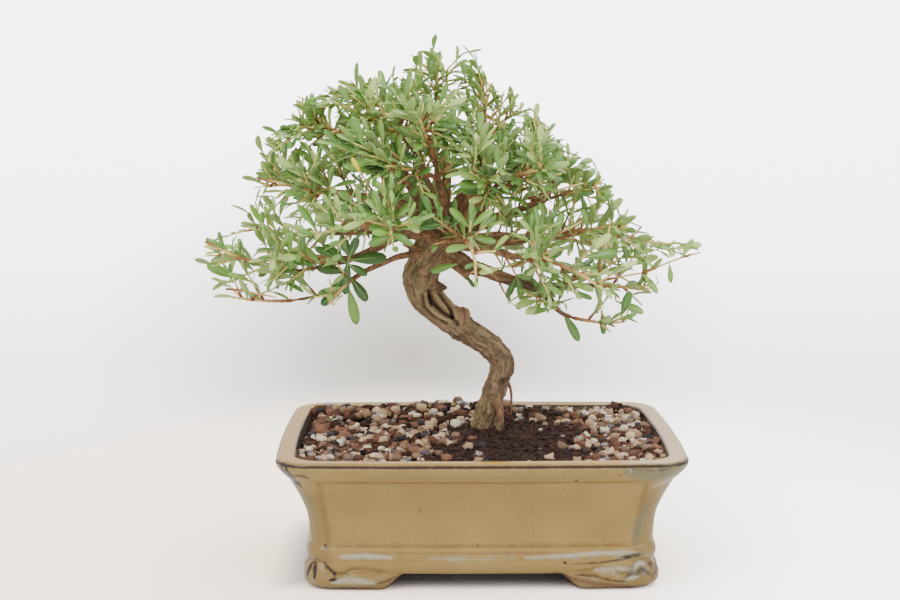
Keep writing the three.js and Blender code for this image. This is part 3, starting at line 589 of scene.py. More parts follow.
grain_kinds = {
    # size, flatness, roundness, how uneven, bedding, finish
    "pumice": (3.7, 0.85, 0.55, 0.42, 0.3, grain_finish("pumice_grain", (
        (0.15, (0.20, 0.12, 0.08)), (0.42, (0.44, 0.28, 0.17)), (0.7, (0.78, 0.54, 0.33)),
        (0.92, (1.0, 0.85, 0.63))), 1.0, 0.9)),
    "fired_clay": (4.5, 0.8, 0.7, 0.6, -0.8, grain_finish("fired_clay_grain", (
        (0.2, (0.040, 0.020, 0.014)), (0.5, (0.110, 0.050, 0.032)), (0.8, (0.20, 0.092, 0.056)),
        (1.0, (0.32, 0.16, 0.095))), 1.0, 0.95)),
    "dark_gravel": (3.5, 0.75, 0.5, 0.35, -0.2, grain_finish("dark_gravel_grain", (
        (0.2, (0.014, 0.012, 0.014)), (0.6, (0.060, 0.050, 0.058)), (1.0, (0.20, 0.17, 0.20))), 0.6, 0.6)),
    "pale_gravel": (3.1, 0.7, 0.5, 0.35, 0.3, grain_finish("pale_gravel_grain", (
        (0.2, (0.24, 0.20, 0.21)), (0.6, (0.50, 0.42, 0.38)), (1.0, (1.0, 0.90, 0.78))), 0.6, 0.6)),
}
kind_spots = {kind: [] for kind in grain_kinds}
spacing, loose_count, shapes_of_a_kind = 3.1, 650, 9
field_length, field_depth = 196, 140
field_left, field_front = -97, -70
wall_inset = 10.6
trunk_foot, trunk_room = (5.5, 14.3), 10
spots = []
for row in range(int(field_depth / spacing)):
    for column in range(int(field_length / spacing)):
        x = field_left + (column + 0.5 * (row % 2) + 0.7 * draw.random()) * spacing
        y = field_front + (row + 0.7 * draw.random()) * spacing
        spots.append((x, y, 0.0))
spots += [(draw.uniform(-96, 96), draw.uniform(-68, 68), 1.5) for _ in range(loose_count)]
for x, y, lift in spots:
    room = min(rim_length / 2 - wall_inset - abs(x), rim_depth / 2 - wall_inset - abs(y))
    corner = math.hypot(max(abs(x) - 81.2, 0), max(abs(y) - 54.2, 0))
    ball = ball_share(x, y)
    if room < 0.6 or corner > 13.4 or math.dist((x, y), trunk_foot) < trunk_room:
        continue
    if draw.random() < max(1.25 - smooth_share(0.72, 1.08, ball), spill_share(x, y)):
        if draw.random() > 0.05:
            continue
    if lift == 0 and draw.random() < 0.07:
        continue
    pale_share = 0.37 + 0.14 * smooth_share(20, 70, x) + 0.5 * noise.noise(Vector((x, y, 12)) * 0.05)
    roll = draw.random()
    if roll < 0.8 * pale_share:
        kind_spots["pumice"].append((x, y, lift))
    elif roll < pale_share:
        kind_spots["pale_gravel"].append((x, y, lift))
    elif roll < pale_share + 0.13:
        kind_spots["dark_gravel"].append((x, y, lift))
    else:
        kind_spots["fired_clay"].append((x, y, lift))
for kind, (size, flatness, roundness, uneven, bedding, stone) in grain_kinds.items():
    moulds = []
    for _ in range(shapes_of_a_kind):
        grain = bmesh.new()
        bmesh.ops.create_cube(grain, size=1)
        bmesh.ops.subdivide_edges(grain, edges=grain.edges, cuts=1, use_grid_fill=True)
        for vert in grain.verts:
            eased = vert.co.lerp(vert.co.normalized() * 0.6, roundness)
            vert.co = eased * (0.95 + 1.2 * uneven * (draw.random() - 0.5))
            vert.co.z *= flatness
        mould = bpy.data.meshes.new("grain_mould")
        grain.to_mesh(mould)
        grain.free()
        moulds.append(mould)
    heap = bmesh.new()
    tones = []
    for x, y, lift in kind_spots[kind]:
        mould = moulds[draw.integers(len(moulds))]
        wide = size * float(0.42 + 0.95 * draw.random() ** 1.2)
        height = soil_height(x, y) - 1.2 + 0.25 * wide + lift * draw.random() + bedding
        tip = float(noise.noise(Vector((x, y, 5)) * 0.2)) * 0.8
        put = (
            Matrix.Translation((x, y, height + tip))
            @ Matrix.Rotation(draw.uniform(0, 6.28), 4, "Z")
            @ Matrix.Rotation(draw.uniform(-0.7, 0.7), 4, "X")
            @ Matrix.Diagonal((wide * draw.uniform(0.9, 1.3), wide, wide, 1))
        )
        mould.transform(put)
        heap.from_mesh(mould)
        mould.transform(put.inverted())
        tones += [float(draw.random() ** 1.15)] * len(mould.vertices)
    grains = finished(kind + "_grains", heap, stone)
    if kind == "pale_gravel":
        grains.data.shade_flat()
    tone_layer = grains.data.attributes.new("grain_tone", "FLOAT", "POINT")
    tone_layer.data.foreach_set("value", tones)
    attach(grains, "root")
    for mould in moulds:
        bpy.data.meshes.remove(mould)

# The root ball: dark fibrous peat held together by fine roots, as the tree came out of its nursery pot.
# Its top lies bare to the right of the trunk, level with the grit.
ball_form = bmesh.new()
ball_rings = [0.001, *np.linspace(0.05, 0.98, 24), 1.0]
ball_sides = [(1.0, 59), (0.9, 38), (0.55, 24.2), (0.001, 24)]
ball_columns = 84


def place_on_ball(vert, column, ring):
    """Puts one corner of the root ball's skin in its place, with clods on top."""
    angle = column / ball_columns * 2 * math.pi
    wave = ball_wave(angle)
    on_top = ring < len(ball_rings)
    share = ball_rings[ring] if on_top else ball_sides[ring - len(ball_rings)][0]
    x = ball_middle[0] + math.cos(angle) * ball_reach[0] * share * wave
    y = ball_middle[1] + math.sin(angle) * ball_reach[1] * share * wave
    if not on_top:
        vert.co = (x, y, ball_sides[ring - len(ball_rings)][1])
        return
    clods = noise.noise(Vector((x, y, 1)) * 0.13) * 1.3 + noise.noise(Vector((x, y, 4)) * 0.4) * 0.9
    clods += noise.noise(Vector((x, y, 8)) * 1.1) * 0.45
    vert.co = (x, y, soil_height(x, y) - 0.1 + clods - 2.2 * smooth_share(0.85, 1, share))


add_skin(ball_form, ball_columns, len(ball_rings) + len(ball_sides), place_on_ball)
bmesh.ops.recalc_face_normals(ball_form, faces=ball_form.faces)

peat = new_finish("fibrous_peat")
clods = peat.noise(260, 7, 0.72)
drift = peat.noise(55, 3)
tone = peat.ramp(
    clods, (0.3, (0.020, 0.016, 0.015)), (0.52, (0.058, 0.034, 0.029)), (0.72, (0.14, 0.073, 0.056)))
tone = peat.blended(peat.fade(drift, 0.45, 0.7, 0, 0.5), tone, (0.105, 0.050, 0.037))
tone = peat.blended(peat.fade(drift, 0.28, 0.38, 0.4, 0), tone, (0.045, 0.052, 0.022))
peat.surface(tone, 0.92, 0.1, (1.0, 0.0014, clods))

peat_ball = finished("peat_ball", ball_form, peat)
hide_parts("root_ball")
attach(peat_ball, "root")

# Crumbs of the same peat, broken off the root ball when the tree was potted, lie on it and round it.
# The noise that gives them their shapes, and bends the wood and the twigs, has a fixed seed.
noise.seed_set(5)
crumb_count = 900
crumb_form = bmesh.new()
crumb_mould = bmesh.new()
bmesh.ops.create_icosphere(crumb_mould, subdivisions=1, radius=0.5)
crumb_mesh = bpy.data.meshes.new("crumb_mould")
crumb_mould.to_mesh(crumb_mesh)
crumb_mould.free()
while len(crumb_form.verts) < crumb_count * len(crumb_mesh.vertices):
    x, y = float(draw.uniform(-45, 72)), float(draw.uniform(-66, 66))
    ball = ball_share(x, y)
    if draw.random() > max(1.1 - smooth_share(0.8, 1.3, ball), 0.8 * spill_share(x, y)):
        continue
    if math.dist((x, y), trunk_foot) < trunk_room:
        continue
    wide = float(draw.uniform(0.8, 3.4)) * float(draw.uniform(0.6, 1))
    put = (Matrix.Translation((x, y, soil_height(x, y) + (0.5 if ball < 1 else 0.1)))
           @ Matrix.Rotation(draw.uniform(0, 6.28), 4, "Z") @ Matrix.Rotation(draw.uniform(-1, 1), 4, "X")
           @ Matrix.Diagonal((wide * draw.uniform(0.8, 1.5), wide, wide * 0.8, 1)))
    crumb_mesh.transform(put)
    crumb_form.from_mesh(crumb_mesh)
    crumb_mesh.transform(put.inverted())
for vert in crumb_form.verts:
    vert.co += noise.noise_vector(vert.co * 1.3) * 0.45
bpy.data.meshes.remove(crumb_mesh)
peat_crumbs = finished("peat_crumbs", crumb_form, peat)
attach(peat_crumbs, "root")

# The trunk with its limbs, one piece of living wood. It leans right out of the soil, bends hard to the
# left, turns up through a kink with a healed wound, and spreads into limbs at the crown. Points are
# [x, y, height, radius].
trunk_line = [
    [1.6, 14, 48, 5.8], [2.2, 14.4, 68, 6.2], [4.6, 14, 77, 6.2], [8.4, 13, 87.5, 6.3],
    [11.4, 12, 97, 6.4], [13, 11, 106, 6.5], [6.8, 10, 115.4, 6.6], [-3.6, 9.6, 122.2, 7.1],
    [-9.8, 9.4, 126.5, 7.6], [-18.2, 9.4, 133, 7.9], [-25.7, 9.6, 139.8, 9.1], [-31, 9.8, 147, 9.8],
    [-32, 9.8, 153.4, 9], [-30.4, 9, 159, 9.2], [-27, 8, 165, 10.6], [-23, 8, 172, 11.6], [-20, 8, 179, 9],
]
limbs = {
    "rightLow": [[-18, 4, 168, 5.5], [-6, 0, 162, 4.4], [14, -5, 155.5, 3.4], [33, -9, 149, 2.8],
                 [43, -13, 138, 1.5], [50, -15, 135, 1.0]],
    "rightLowFar": [[26, -7, 151.5, 2.4], [46, -5, 151, 1.9], [62, -4, 151, 1.5]],
    "leftThin": [[-26, 2, 168, 2.6], [-45, -5, 167, 1.8], [-60, -9, 160, 1.6], [-84, -15, 148, 1.2],
                 [-100, -18, 145, 0.9]],
    "leftMain": [[-24, 5, 178, 5], [-42, 4, 179, 4.2], [-61, 1, 168.5, 3.4], [-82, -1, 162, 2.4],
                 [-98, -3, 159, 1.6]],
    "leftBack": [[-28, 12, 178, 3.8], [-52, 26, 178, 3], [-76, 36, 176, 2.2], [-92, 42, 174, 1.6]],
    "leftUpper": [[-25, 8, 180, 4.4], [-45, 6, 196, 3.4], [-66, 2, 200, 2.6], [-82, 0, 202, 1.8]],
    "leftHigh": [[-24, 8, 182, 4.2], [-40, 10, 208, 3.2], [-56, 12, 221, 2.4], [-68, 12, 229, 1.6]],
    "topLeft": [[-22, 10, 184, 4.4], [-31, 10, 212, 3.2], [-39, 8, 230, 2.2], [-44, 7, 240, 1.5]],
    "top": [[-20, 10, 184, 4.2], [-18, 12, 208, 3.2], [-19, 13, 226, 2], [-20, 13, 238, 1.4]],
    "topRight": [[-18, 10, 182, 3.8], [-5, 14, 206, 3], [1, 16, 222, 2], [4, 16, 232, 1.4]],
    "rightHigh": [[-16, 8, 180, 4], [4, 6, 195, 3], [20, 5, 208, 2.2], [28, 4, 214, 1.5]],
    "rightUpper": [[-14, 6, 178, 4.2], [12, 2, 188, 3.2], [32, -1, 196, 2.2], [44, -2, 200, 1.5]],
    "rightMid": [[-14, 6, 174, 4.4], [16, 8, 174, 3.4], [44, 10, 177, 2.4], [66, 10, 178, 1.6]],
    "rightBack": [[-14, 14, 174, 3.6], [8, 32, 174, 2.8], [32, 49, 172, 2], [46, 56, 171, 1.5]],
    "frontLeft": [[-24, 0, 176, 3.8], [-36, -20, 184, 3], [-48, -38, 187, 2], [-56, -46, 188, 1.5]],
    "front": [[-20, -2, 174, 3.8], [-15, -22, 178, 3], [-10, -38, 180, 2], [-8, -46, 180, 1.5]],
    "frontRight": [[-14, 0, 174, 3.6], [6, -20, 172, 2.8], [24, -38, 170, 2], [32, -44, 170, 1.5]],
    "frontHigh": [[-20, 5, 178, 4.2], [-21, -14, 204, 2.8], [-23, -24, 215, 2], [-24, -28, 220, 1.5]],
    "frontRightHigh": [[-17, 5, 177, 4], [0, -16, 198, 2.6], [10, -27, 207, 1.9], [14, -30, 210, 1.4]],
    "back": [[-20, 16, 176, 3.8], [-20, 38, 182, 2.8], [-18, 54, 184, 2], [-18, 60, 184, 1.5]],
    "backLeftHigh": [[-24, 14, 182, 3.4], [-38, 30, 203, 2.6], [-47, 39, 212, 1.9], [-50, 42, 214, 1.4]],
    "backRightHigh": [[-16, 14, 180, 3.4], [0, 30, 199, 2.6], [12, 41, 208, 1.9], [16, 44, 210, 1.4]],
}
snag = [[-29, 7, 149, 4.2], [-22.4, 4, 149.4, 3.6], [-17.2, 3, 149, 1.0]]
knob = [[-10.5, 8, 127, 5.4], [-9.4, 5.2, 133.6, 4.9], [-9.2, 4.6, 136.8, 4.5]]
flares = [
    [[4, 14.2, 76, 5], [3.4 + 4.5 * math.cos(turn), 14.2 + 4.5 * math.sin(turn), 70, thick],
     [3.4 + reach * math.cos(turn), 14.2 + reach * math.sin(turn), 65.6, thick * 0.5]]
    for turn, thick, reach in ((3.5, 3.6, 8), (4.6, 3, 6.5), (0.6, 3.2, 11), (1.6, 3.6, 10), (2.6, 3.4, 9))
] + [[[9.4, 9, 86, 2.6], [11.4, 5.6, 82, 2.3], [11.8, 4.6, 76, 2.1], [11.2, 5, 66, 1.8]]]
stubs = [
    [[-22, 2, 168, 3], [-11, -5, 160, 1.9], [-6, -8, 155, 1.4]],
    [[-28, 4, 168, 2.6], [-38, -1, 172.5, 1.8], [-41, -2, 174, 1.5]],
]
thin_root = [[15, 13, 98, 1.2], [18.2, 13.4, 90, 0.8], [18.4, 13.6, 80, 0.7], [18, 14, 72, 0.6]]


def line_point(points, share):
    """A point on the smooth line through the points, where share runs from 0 to 1 by their count."""
    at = [Vector(point[:3]) for point in points]
    last = len(at) - 1
    place = share * last
    index = min(int(place), last - 1)
    weight = place - index
    before = at[index - 1] if index else at[0] * 2 - at[1]
    after = at[index + 2] if index + 2 <= last else at[last] * 2 - at[last - 1]
    start, end = at[index], at[index + 1]
    d1 = max((end - start).length, 1e-4) ** 0.5
    d0 = (start - before).length ** 0.5 or d1
    d2 = (after - end).length ** 0.5 or d1
    leave = ((start - before) / d0 - (end - before) / (d0 + d1) + (end - start) / d1) * d1
    arrive = ((end - start) / d1 - (after - start) / (d1 + d2) + (after - end) / d2) * d1
    bend = -3 * start + 3 * end - 2 * leave - arrive
    twist = 2 * start - 2 * end + leave + arrive
    return start + leave * weight + bend * weight ** 2 + twist * weight ** 3


def line_radius(points, share):
    """The radius at a point of the line."""
    place = share * (len(points) - 1)
    index = min(int(place), len(points) - 2)
    return points[index][3] + (points[index + 1][3] - points[index][3]) * (place - index)


def add_stem(form, spots, radii, sides):
    """A closed tapering stem through the spots, pointed at both ends."""
    headings = []
    for k in range(len(spots)):
        headings.append((spots[min(k + 1, len(spots) - 1)] - spots[max(k - 1, 0)]).normalized())
    level = headings[0].orthogonal().normalized()
    frames = []
    for heading in headings:
        level = (level - heading * level.dot(heading)).normalized()
        frames.append((level, heading.cross(level)))
    last = len(spots) + 1

    def place_on_stem(vert, column, ring):
        k = min(max(ring - 1, 0), len(spots) - 1)
        if ring == 0:
            vert.co = spots[0] - headings[0] * radii[0] * 0.4
        elif ring == last:
            vert.co = spots[-1] + headings[-1] * radii[-1] * 0.5
        else:
            angle = column / sides * 2 * math.pi
            across = frames[k][0] * math.cos(angle) + frames[k][1] * math.sin(angle)
            vert.co = spots[k] + across * radii[k]

    add_skin(form, sides, last + 1, place_on_stem)


def wood_spots(points, step, wander):
    """Spots and radii along a line, which wander a little as live wood does."""
    length = sum((Vector(b[:3]) - Vector(a[:3])).length for a, b in zip(points, points[1:]))
    count = max(4, round(length / step))
    spots, radii = [], []
    for k in range(count + 1):
        share = k / count
        spot = line_point(points, share)
        drift = noise.noise_vector(spot * 0.09 + Vector((7, 3, 1))) * wander
        spots.append(spot + drift * math.sin(math.pi * min(share * 1.3, 1)))
        swell = 1 + 0.16 * noise.noise(spot * 0.16 + Vector((2, 9, 4)))
        radii.append(line_radius(points, share) * swell)
    return spots, radii


wood_form = bmesh.new()
wood_lines = []
slim_limbs = []
for line in limbs.values():
    if line[0][2] > 172:
        slimming = [1 - 0.38 * smooth_share(0.3, 2.6, place) for place in range(len(line))]
        line = [[x, y, z, radius * slim] for (x, y, z, radius), slim in zip(line, slimming)]
    slim_limbs.append(line)
for points, step, wander, sides in (
    [(trunk_line, 2.0, 0.4, 28)]
    + [(line, 2.2, 1.5, 12) for line in slim_limbs]
    + [(line, 1.5, 0.3, 12) for line in (snag, knob, *stubs, *flares)]
):
    spots, radii = wood_spots(points, step, wander)
    add_stem(wood_form, spots, radii, sides)
    wood_lines.append((spots, radii))
bmesh.ops.recalc_face_normals(wood_form, faces=wood_form.faces)

# The stems are grown together into one skin, which is then eased and furrowed.
rough_wood = bpy.data.meshes.new("rough_wood")
wood_form.to_mesh(rough_wood)
wood_form.free()
growing = bpy.data.objects.new("growing_wood", rough_wood)
bpy.context.scene.collection.objects.link(growing)
fuse = growing.modifiers.new("fuse", "REMESH")
fuse.mode = "VOXEL"
fuse.voxel_size = 0.645
fuse.adaptivity = 0
evaluated = growing.evaluated_get(bpy.context.evaluated_depsgraph_get())
fused = bpy.data.meshes.new_from_object(evaluated)
bpy.data.objects.remove(growing)
wood_form = bmesh.new()
wood_form.from_mesh(fused)
for _ in range(4):
    bmesh.ops.smooth_vert(
        wood_form, verts=wood_form.verts, factor=0.5, use_axis_x=True, use_axis_y=True, use_axis_z=True,
    )

# Each place of the skin is known by how far it lies along its stem and round it, for the bark to follow.
core = np.array([tuple(spot) for spots, _ in wood_lines for spot in spots])
core_radius = np.array([radius for _, radii in wood_lines for radius in radii])
core_along, core_heading, core_level = [], [], []
for spots, _ in wood_lines:
    travelled = 0.0
    level = Vector((0, -1, 0))
    for k, spot in enumerate(spots):
        if k:
            travelled += (spot - spots[k - 1]).length
        heading = (spots[min(k + 1, len(spots) - 1)] - spots[max(k - 1, 0)]).normalized()
        level = (level - heading * level.dot(heading)).normalized()
        core_along.append(travelled)
        core_heading.append(tuple(heading))
        core_level.append(tuple(level))
core_along, core_heading, core_level = map(np.array, (core_along, core_heading, core_level))
skin = np.array([tuple(vert.co) for vert in wood_form.verts])
nearest = np.empty(len(skin), int)
for start in range(0, len(skin), 4000):
    part = skin[start:start + 4000]
    apart = np.linalg.norm(part[:, None, :] - core[None, :, :], axis=2) - core_radius[None, :]
    nearest[start:start + 4000] = apart.argmin(axis=1)
offset = skin - core[nearest]
ahead = (offset * core_heading[nearest]).sum(axis=1)
along = core_along[nearest] + ahead
side_on = (offset * core_level[nearest]).sum(axis=1)
side_off = (offset * np.cross(core_heading[nearest], core_level[nearest])).sum(axis=1)
girth = core_radius[nearest]
turn_round = np.arctan2(side_off, side_on)

# The wound at the kink: rolled lips, hollows and a strap of dead wood, each a line seen from the front.
wound_lines = [
    # how far it stands out, or in where it is below 0, half width, points of [x, height]
    (1.5, 1.1, ((-28.6, 146), (-27.6, 140.6), (-24.8, 136.2), (-20.6, 132.9), (-15.2, 131))),
    (1.6, 0.98, ((-22.6, 150), (-20.4, 146.2), (-16.2, 141), (-13.2, 136.2), (-12, 132.4))),
    (-2.9, 0.98, ((-27.3, 147.4), (-25.6, 142.8), (-22.4, 138.2), (-18.4, 134.6), (-14.4, 132.8))),
    (-3.2, 1.3, ((-27, 144.4), (-26, 140.2))),
    (-2.5, 0.82, ((-24.2, 150.4), (-21.8, 146.6), (-17.8, 141.4), (-15.2, 136.8), (-14.2, 133))),
    (1.1, 0.82, ((-24.9, 147.2), (-22, 142.2), (-18.4, 138), (-16.4, 134.8))),
    (-1.4, 0.9, ((-31, 145.1), (-30, 138.2), (-24.6, 132.6), (-17.8, 129.4))),
    (-1.7, 0.82, ((-14.4, 133), (-11.6, 128.6))),
]
bark_layer = wood_form.verts.layers.float_vector.new("bark_way")
look_layer = wood_form.verts.layers.float_color.new("bark_look")
wood_form.normal_update()
for index, vert in enumerate(wood_form.verts):
    r = girth[index]
    around = Vector((math.cos(turn_round[index]), math.sin(turn_round[index])))
    way = Vector((around.x * r, around.y * r, along[index]))
    old = smooth_share(2.6, 6.5, r) if vert.co.z > 76 else 1
    ridge = 1 - abs(noise.noise(Vector((way.x * 0.42, way.y * 0.42, way.z * 0.12)))) * 2
    cracks = noise.noise(Vector((way.x * 1.0, way.y * 1.0, way.z * 0.42)))
    fine_cracks = noise.noise(Vector((way.x * 2.1, way.y * 2.1, way.z * 1.3)))
    push = old * (0.75 * (ridge - 0.6) + 0.62 * cracks + 0.3 * fine_cracks)
    push += (1 - old) * (0.12 * cracks + 0.08 * fine_cracks)
    spot = vert.co.copy()
    wound, hollow = 0.0, min(max((ridge + cracks) * 0.5, 0), 1)
    if -35 < spot.x < -5 and 125 < spot.z < 155 and vert.normal.y < 0.1 and r > 4:
        carved = 0.0
        calm = 0.0
        for depth, half_width, points in wound_lines:
            gap = 1e9
            for (ax, az), (bx, bz) in zip(points, points[1:]):
                run_x, run_z = bx - ax, bz - az
                share = ((spot.x - ax) * run_x + (spot.z - az) * run_z) / (run_x ** 2 + run_z ** 2)
                share = min(max(share, 0), 1)
                gap = min(gap, math.hypot(spot.x - ax - share * run_x, spot.z - az - share * run_z))
            reach = math.exp(-(gap / half_width) ** 2)
            carved += depth * reach
            calm = max(calm, math.exp(-(gap / half_width / 1.9) ** 2))
        faced = min(max((0.1 - vert.normal.y) / 0.45, 0), 1)
        push = push * (1 - 0.9 * calm) + carved * faced
        wound = calm * faced
        hollow = min(max(0.5 + carved / 5, 0), 1)
    vert.co = spot + vert.normal * push
    vert[bark_layer] = way * mm
    # The snag is marked to be painted dark brown: a painted shadow.
    painted_snag_shadow = smooth_share(-24.5, -22, spot.x) if 144 < spot.z < 154 and spot.x > -25 and r < 4.6 else 0
    vert[look_layer] = (old, wound, hollow, painted_snag_shadow)
bmesh.ops.smooth_vert(
    wood_form, verts=wood_form.verts, factor=0.2, use_axis_x=True, use_axis_y=True, use_axis_z=True,
)

bark = new_finish("furrowed_bark")
way = bark.stored("bark_way", "Vector")
age, wound, hollow, painted_snag_shadow = bark.painted("bark_look")
stretched = bark.node("Mapping", {"Scale": (1, 1, 0.27), "Vector": way}).outputs["Vector"]
fibres = bark.noise(900, 6, 0.7, stretched)
plates = bark.noise(320, 5, 0.62, stretched)
mottle = bark.noise(150, 4, 0.6)
old_wood = bark.ramp(
    plates, (0.28, (0.11, 0.066, 0.036)), (0.43, (0.25, 0.158, 0.086)), (0.58, (0.39, 0.258, 0.144)),
    (0.76, (0.66, 0.48, 0.29)))
young_wood = bark.ramp(
    plates, (0.3, (0.15, 0.060, 0.030)), (0.5, (0.38, 0.170, 0.080)), (0.7, (0.60, 0.315, 0.160)))
tone = bark.blended(age, young_wood, old_wood)
sideways, _, height = bark.axes(bark.coordinates["Object"])
rusty = bark.times(bark.rise(height, 0.158, 0.19), bark.fade(mottle, 0.35, 0.65, 0.2, 0.85))
tone = bark.blended(rusty, tone, young_wood)
# Moss-green algae grow low on the trunk and round its kink.
low = bark.rise(height, 0.096, 0.062)
kink = bark.times(bark.rise(sideways, -0.006, -0.022), 0.75)
mossy = bark.times(bark.number("MAXIMUM", low, kink), bark.fade(mottle, 0.42, 0.62, 0, 0.8))
tone = bark.blended(bark.times(mossy, age), tone, (0.24, 0.20, 0.055))
# Painted shadow on the snag.
tone = bark.blended(bark.times(painted_snag_shadow, 0.85), tone, (0.040, 0.022, 0.016))
# Darker in the furrows, where the skin was pushed in: partly the bark's own darker furrows, partly painted
# shade.
crevice = bark.fade(hollow, 0.18, 0.42, 1, 0)
tone = bark.blended(bark.times(crevice, 0.6), tone, (0.06, 0.034, 0.019))
tone = bark.blended(0.25, tone, bark.ramp(fibres, (0.38, (0.08, 0.048, 0.028)), (0.62, (0.58, 0.42, 0.26))))
# The wound's colour follows its depth: pale callus wood on the raised lips, near black in the deepest
# hollows as painted shade.
wound_wood_and_hollow_shade = bark.ramp(
    hollow, (0.05, (0.022, 0.014, 0.011)), (0.34, (0.10, 0.065, 0.037)), (0.52, (0.27, 0.215, 0.080)),
    (0.78, (0.50, 0.37, 0.19)))
tone = bark.blended(bark.times(wound, 0.7), tone, wound_wood_and_hollow_shade)
bark.surface(tone, 0.85, 0.25, (0.6, 0.0009, plates), (0.5, 0.0004, fibres))

bark_trunk = finished("bark_trunk", wood_form, bark)
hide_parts("trunk")
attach(bark_trunk, "root")

# One thin root hangs free from the bend of the trunk down into the soil, and coarse rusty fibres lie in
# the peat. They grew, so each is a tapering thread.
root_form = bmesh.new()
root_places = [k / 14 for k in range(15)]
root_spots = [line_point(thin_root, place) for place in root_places]
add_stem(root_form, root_spots, [line_radius(thin_root, place) for place in root_places], 8)
bmesh.ops.recalc_face_normals(root_form, faces=root_form.faces)
rusty_root = new_finish("rusty_root")
scaly = rusty_root.noise(1100, 4)
aloft = rusty_root.rise(rusty_root.axes(rusty_root.coordinates["Object"])["Z"], 0.074, 0.080)
buried = rusty_root.ramp(scaly, (0.35, (0.050, 0.024, 0.018)), (0.65, (0.13, 0.062, 0.042)))
bared = rusty_root.ramp(scaly, (0.35, (0.16, 0.070, 0.036)), (0.65, (0.42, 0.22, 0.11)))
rusty_root.surface(rusty_root.blended(aloft, buried, bared), 0.8, 0.2, (0.4, 0.0002, scaly))
hanging_root = finished("hanging_root", root_form, rusty_root)
fibre_form = bmesh.new()
fibre_count = 150
for _ in range(fibre_count):
    x, y = float(draw.uniform(-26, 62)), float(draw.uniform(-52, 60))
    if ball_share(x, y) > 1 and draw.random() > spill_share(x, y):
        continue
    turn, reach = float(draw.uniform(0, 6.28)), float(draw.uniform(4, 15))
    spots = []
    for k in range(5):
        turn += float(draw.uniform(-0.25, 0.25))
        arch = 0.9 * math.sin(math.pi * k / 4) * float(draw.random())
        spots.append(Vector((x, y, soil_height(x, y) + 0.5 + arch)))
        x, y = x + reach / 4 * math.cos(turn), y + reach / 4 * math.sin(turn)
    add_stem(fibre_form, spots, [float(draw.uniform(0.08, 0.18))] * 5, 5)
bmesh.ops.recalc_face_normals(fibre_form, faces=fibre_form.faces)
peat_fibres = finished("peat_fibres", fibre_form, rusty_root)
for piece in (hanging_root, peat_fibres):
    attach(piece, "root")

# The sprays: main twigs from the limbs, side twigs forked from them, and opposite pairs of small spatulate
# leaves, each pair turned a quarter from the last. Twigs are rusty where old and yellow-green where young,
# and the leaves are glossy with a pale midrib, fresh green at the tips and deep green inside, the deep green
# partly painted shade.
up = Vector((0, 0, 1))
leaf_lengths = (14, 19.5)
leaf_node_spacing = 5.2
sprays = [
    # limb, place along it, tip of the main twig, rise of its arch
    ("rightLow", 1, (80, -20, 134), -3), ("rightLow", 0.62, (30, -36, 146), 2),
    ("rightLowFar", 1, (100, -6, 146), 3), ("rightLowFar", 0.4, (78, 16, 157), 3),
    ("leftThin", 1, (-136, -22, 148), -2), ("leftThin", 0.55, (-82, -38, 144), 2),
    ("leftMain", 1, (-142, -6, 170), -3), ("leftMain", 0.6, (-112, -34, 168), 3),
    ("leftMain", 0.72, (-112, 20, 162), 2), ("leftBack", 1, (-130, 46, 178), -2),
    ("leftUpper", 1, (-116, -4, 205), 3), ("leftUpper", 0.6, (-92, -34, 202), 3),
    ("leftUpper", 0.75, (-106, 24, 200), 2), ("leftHigh", 1, (-102, 10, 240), 3),
    ("leftHigh", 0.6, (-84, 36, 228), 3), ("topLeft", 1, (-66, 4, 253), 3),
    ("topLeft", 0.6, (-58, -24, 242), 2), ("top", 1, (-24, 12, 267), 0),
    ("top", 0.7, (-42, 32, 249), 2), ("topRight", 1, (2, 12, 262), 1),
    ("topRight", 0.6, (18, 34, 242), 3), ("rightHigh", 1, (37, 0, 236), 2),
    ("rightHigh", 0.6, (32, -24, 230), 3), ("rightUpper", 1, (69, -6, 204), 3),
    ("rightUpper", 0.6, (49, 22, 212), 3), ("rightMid", 1, (108, 6, 168), 4),
    ("rightMid", 0.65, (79, -14, 183), 3), ("rightMid", 0.75, (84, 36, 176), 3),
    ("rightBack", 1, (80, 66, 160), 4), ("rightBack", 0.6, (36, 82, 174), 3),
    ("frontLeft", 1, (-84, -66, 184), 3), ("frontLeft", 0.6, (-46, -74, 186), 3),
    ("front", 1, (-4, -84, 172), 4), ("frontRight", 1, (62, -60, 156), 3),
    ("frontRight", 0.6, (34, -72, 172), 4), ("frontHigh", 1, (-32, -48, 242), 1),
    ("frontHigh", 0.5, (-50, -46, 218), 2), ("frontRightHigh", 1, (32, -52, 216), 3),
    ("frontRightHigh", 0.5, (0, -52, 212), 2), ("back", 1, (-14, 94, 172), 4),
    ("back", 0.5, (-44, 76, 192), 3), ("backLeftHigh", 1, (-74, 62, 216), 3),
    ("backRightHigh", 1, (40, 64, 206), 3),
]


def seeded(seed):
    """A run of numbers from 0 to 1 that is the same each time for one seed."""
    state = seed

    def next_number():
        nonlocal state
        state = (state * 1664525 + 1013904223) % 4294967296
        return state / 4294967296

    return next_number


def bent_point(line, share):
    """A point on a twig, which bends from its start to its end towards a control point."""
    start, control, end = line
    return start * (1 - share) ** 2 + control * (2 * share * (1 - share)) + end * share ** 2


def bent_heading(line, share):
    """The way a twig points at a place along it."""
    start, control, end = line
    return ((control - start) * (1 - share) + (end - control) * share).normalized()


def around_heading(heading, angle):
    """The way out from a twig at an angle round it."""
    level = heading.cross(up).normalized()
    return level * math.cos(angle) + level.cross(heading) * math.sin(angle)


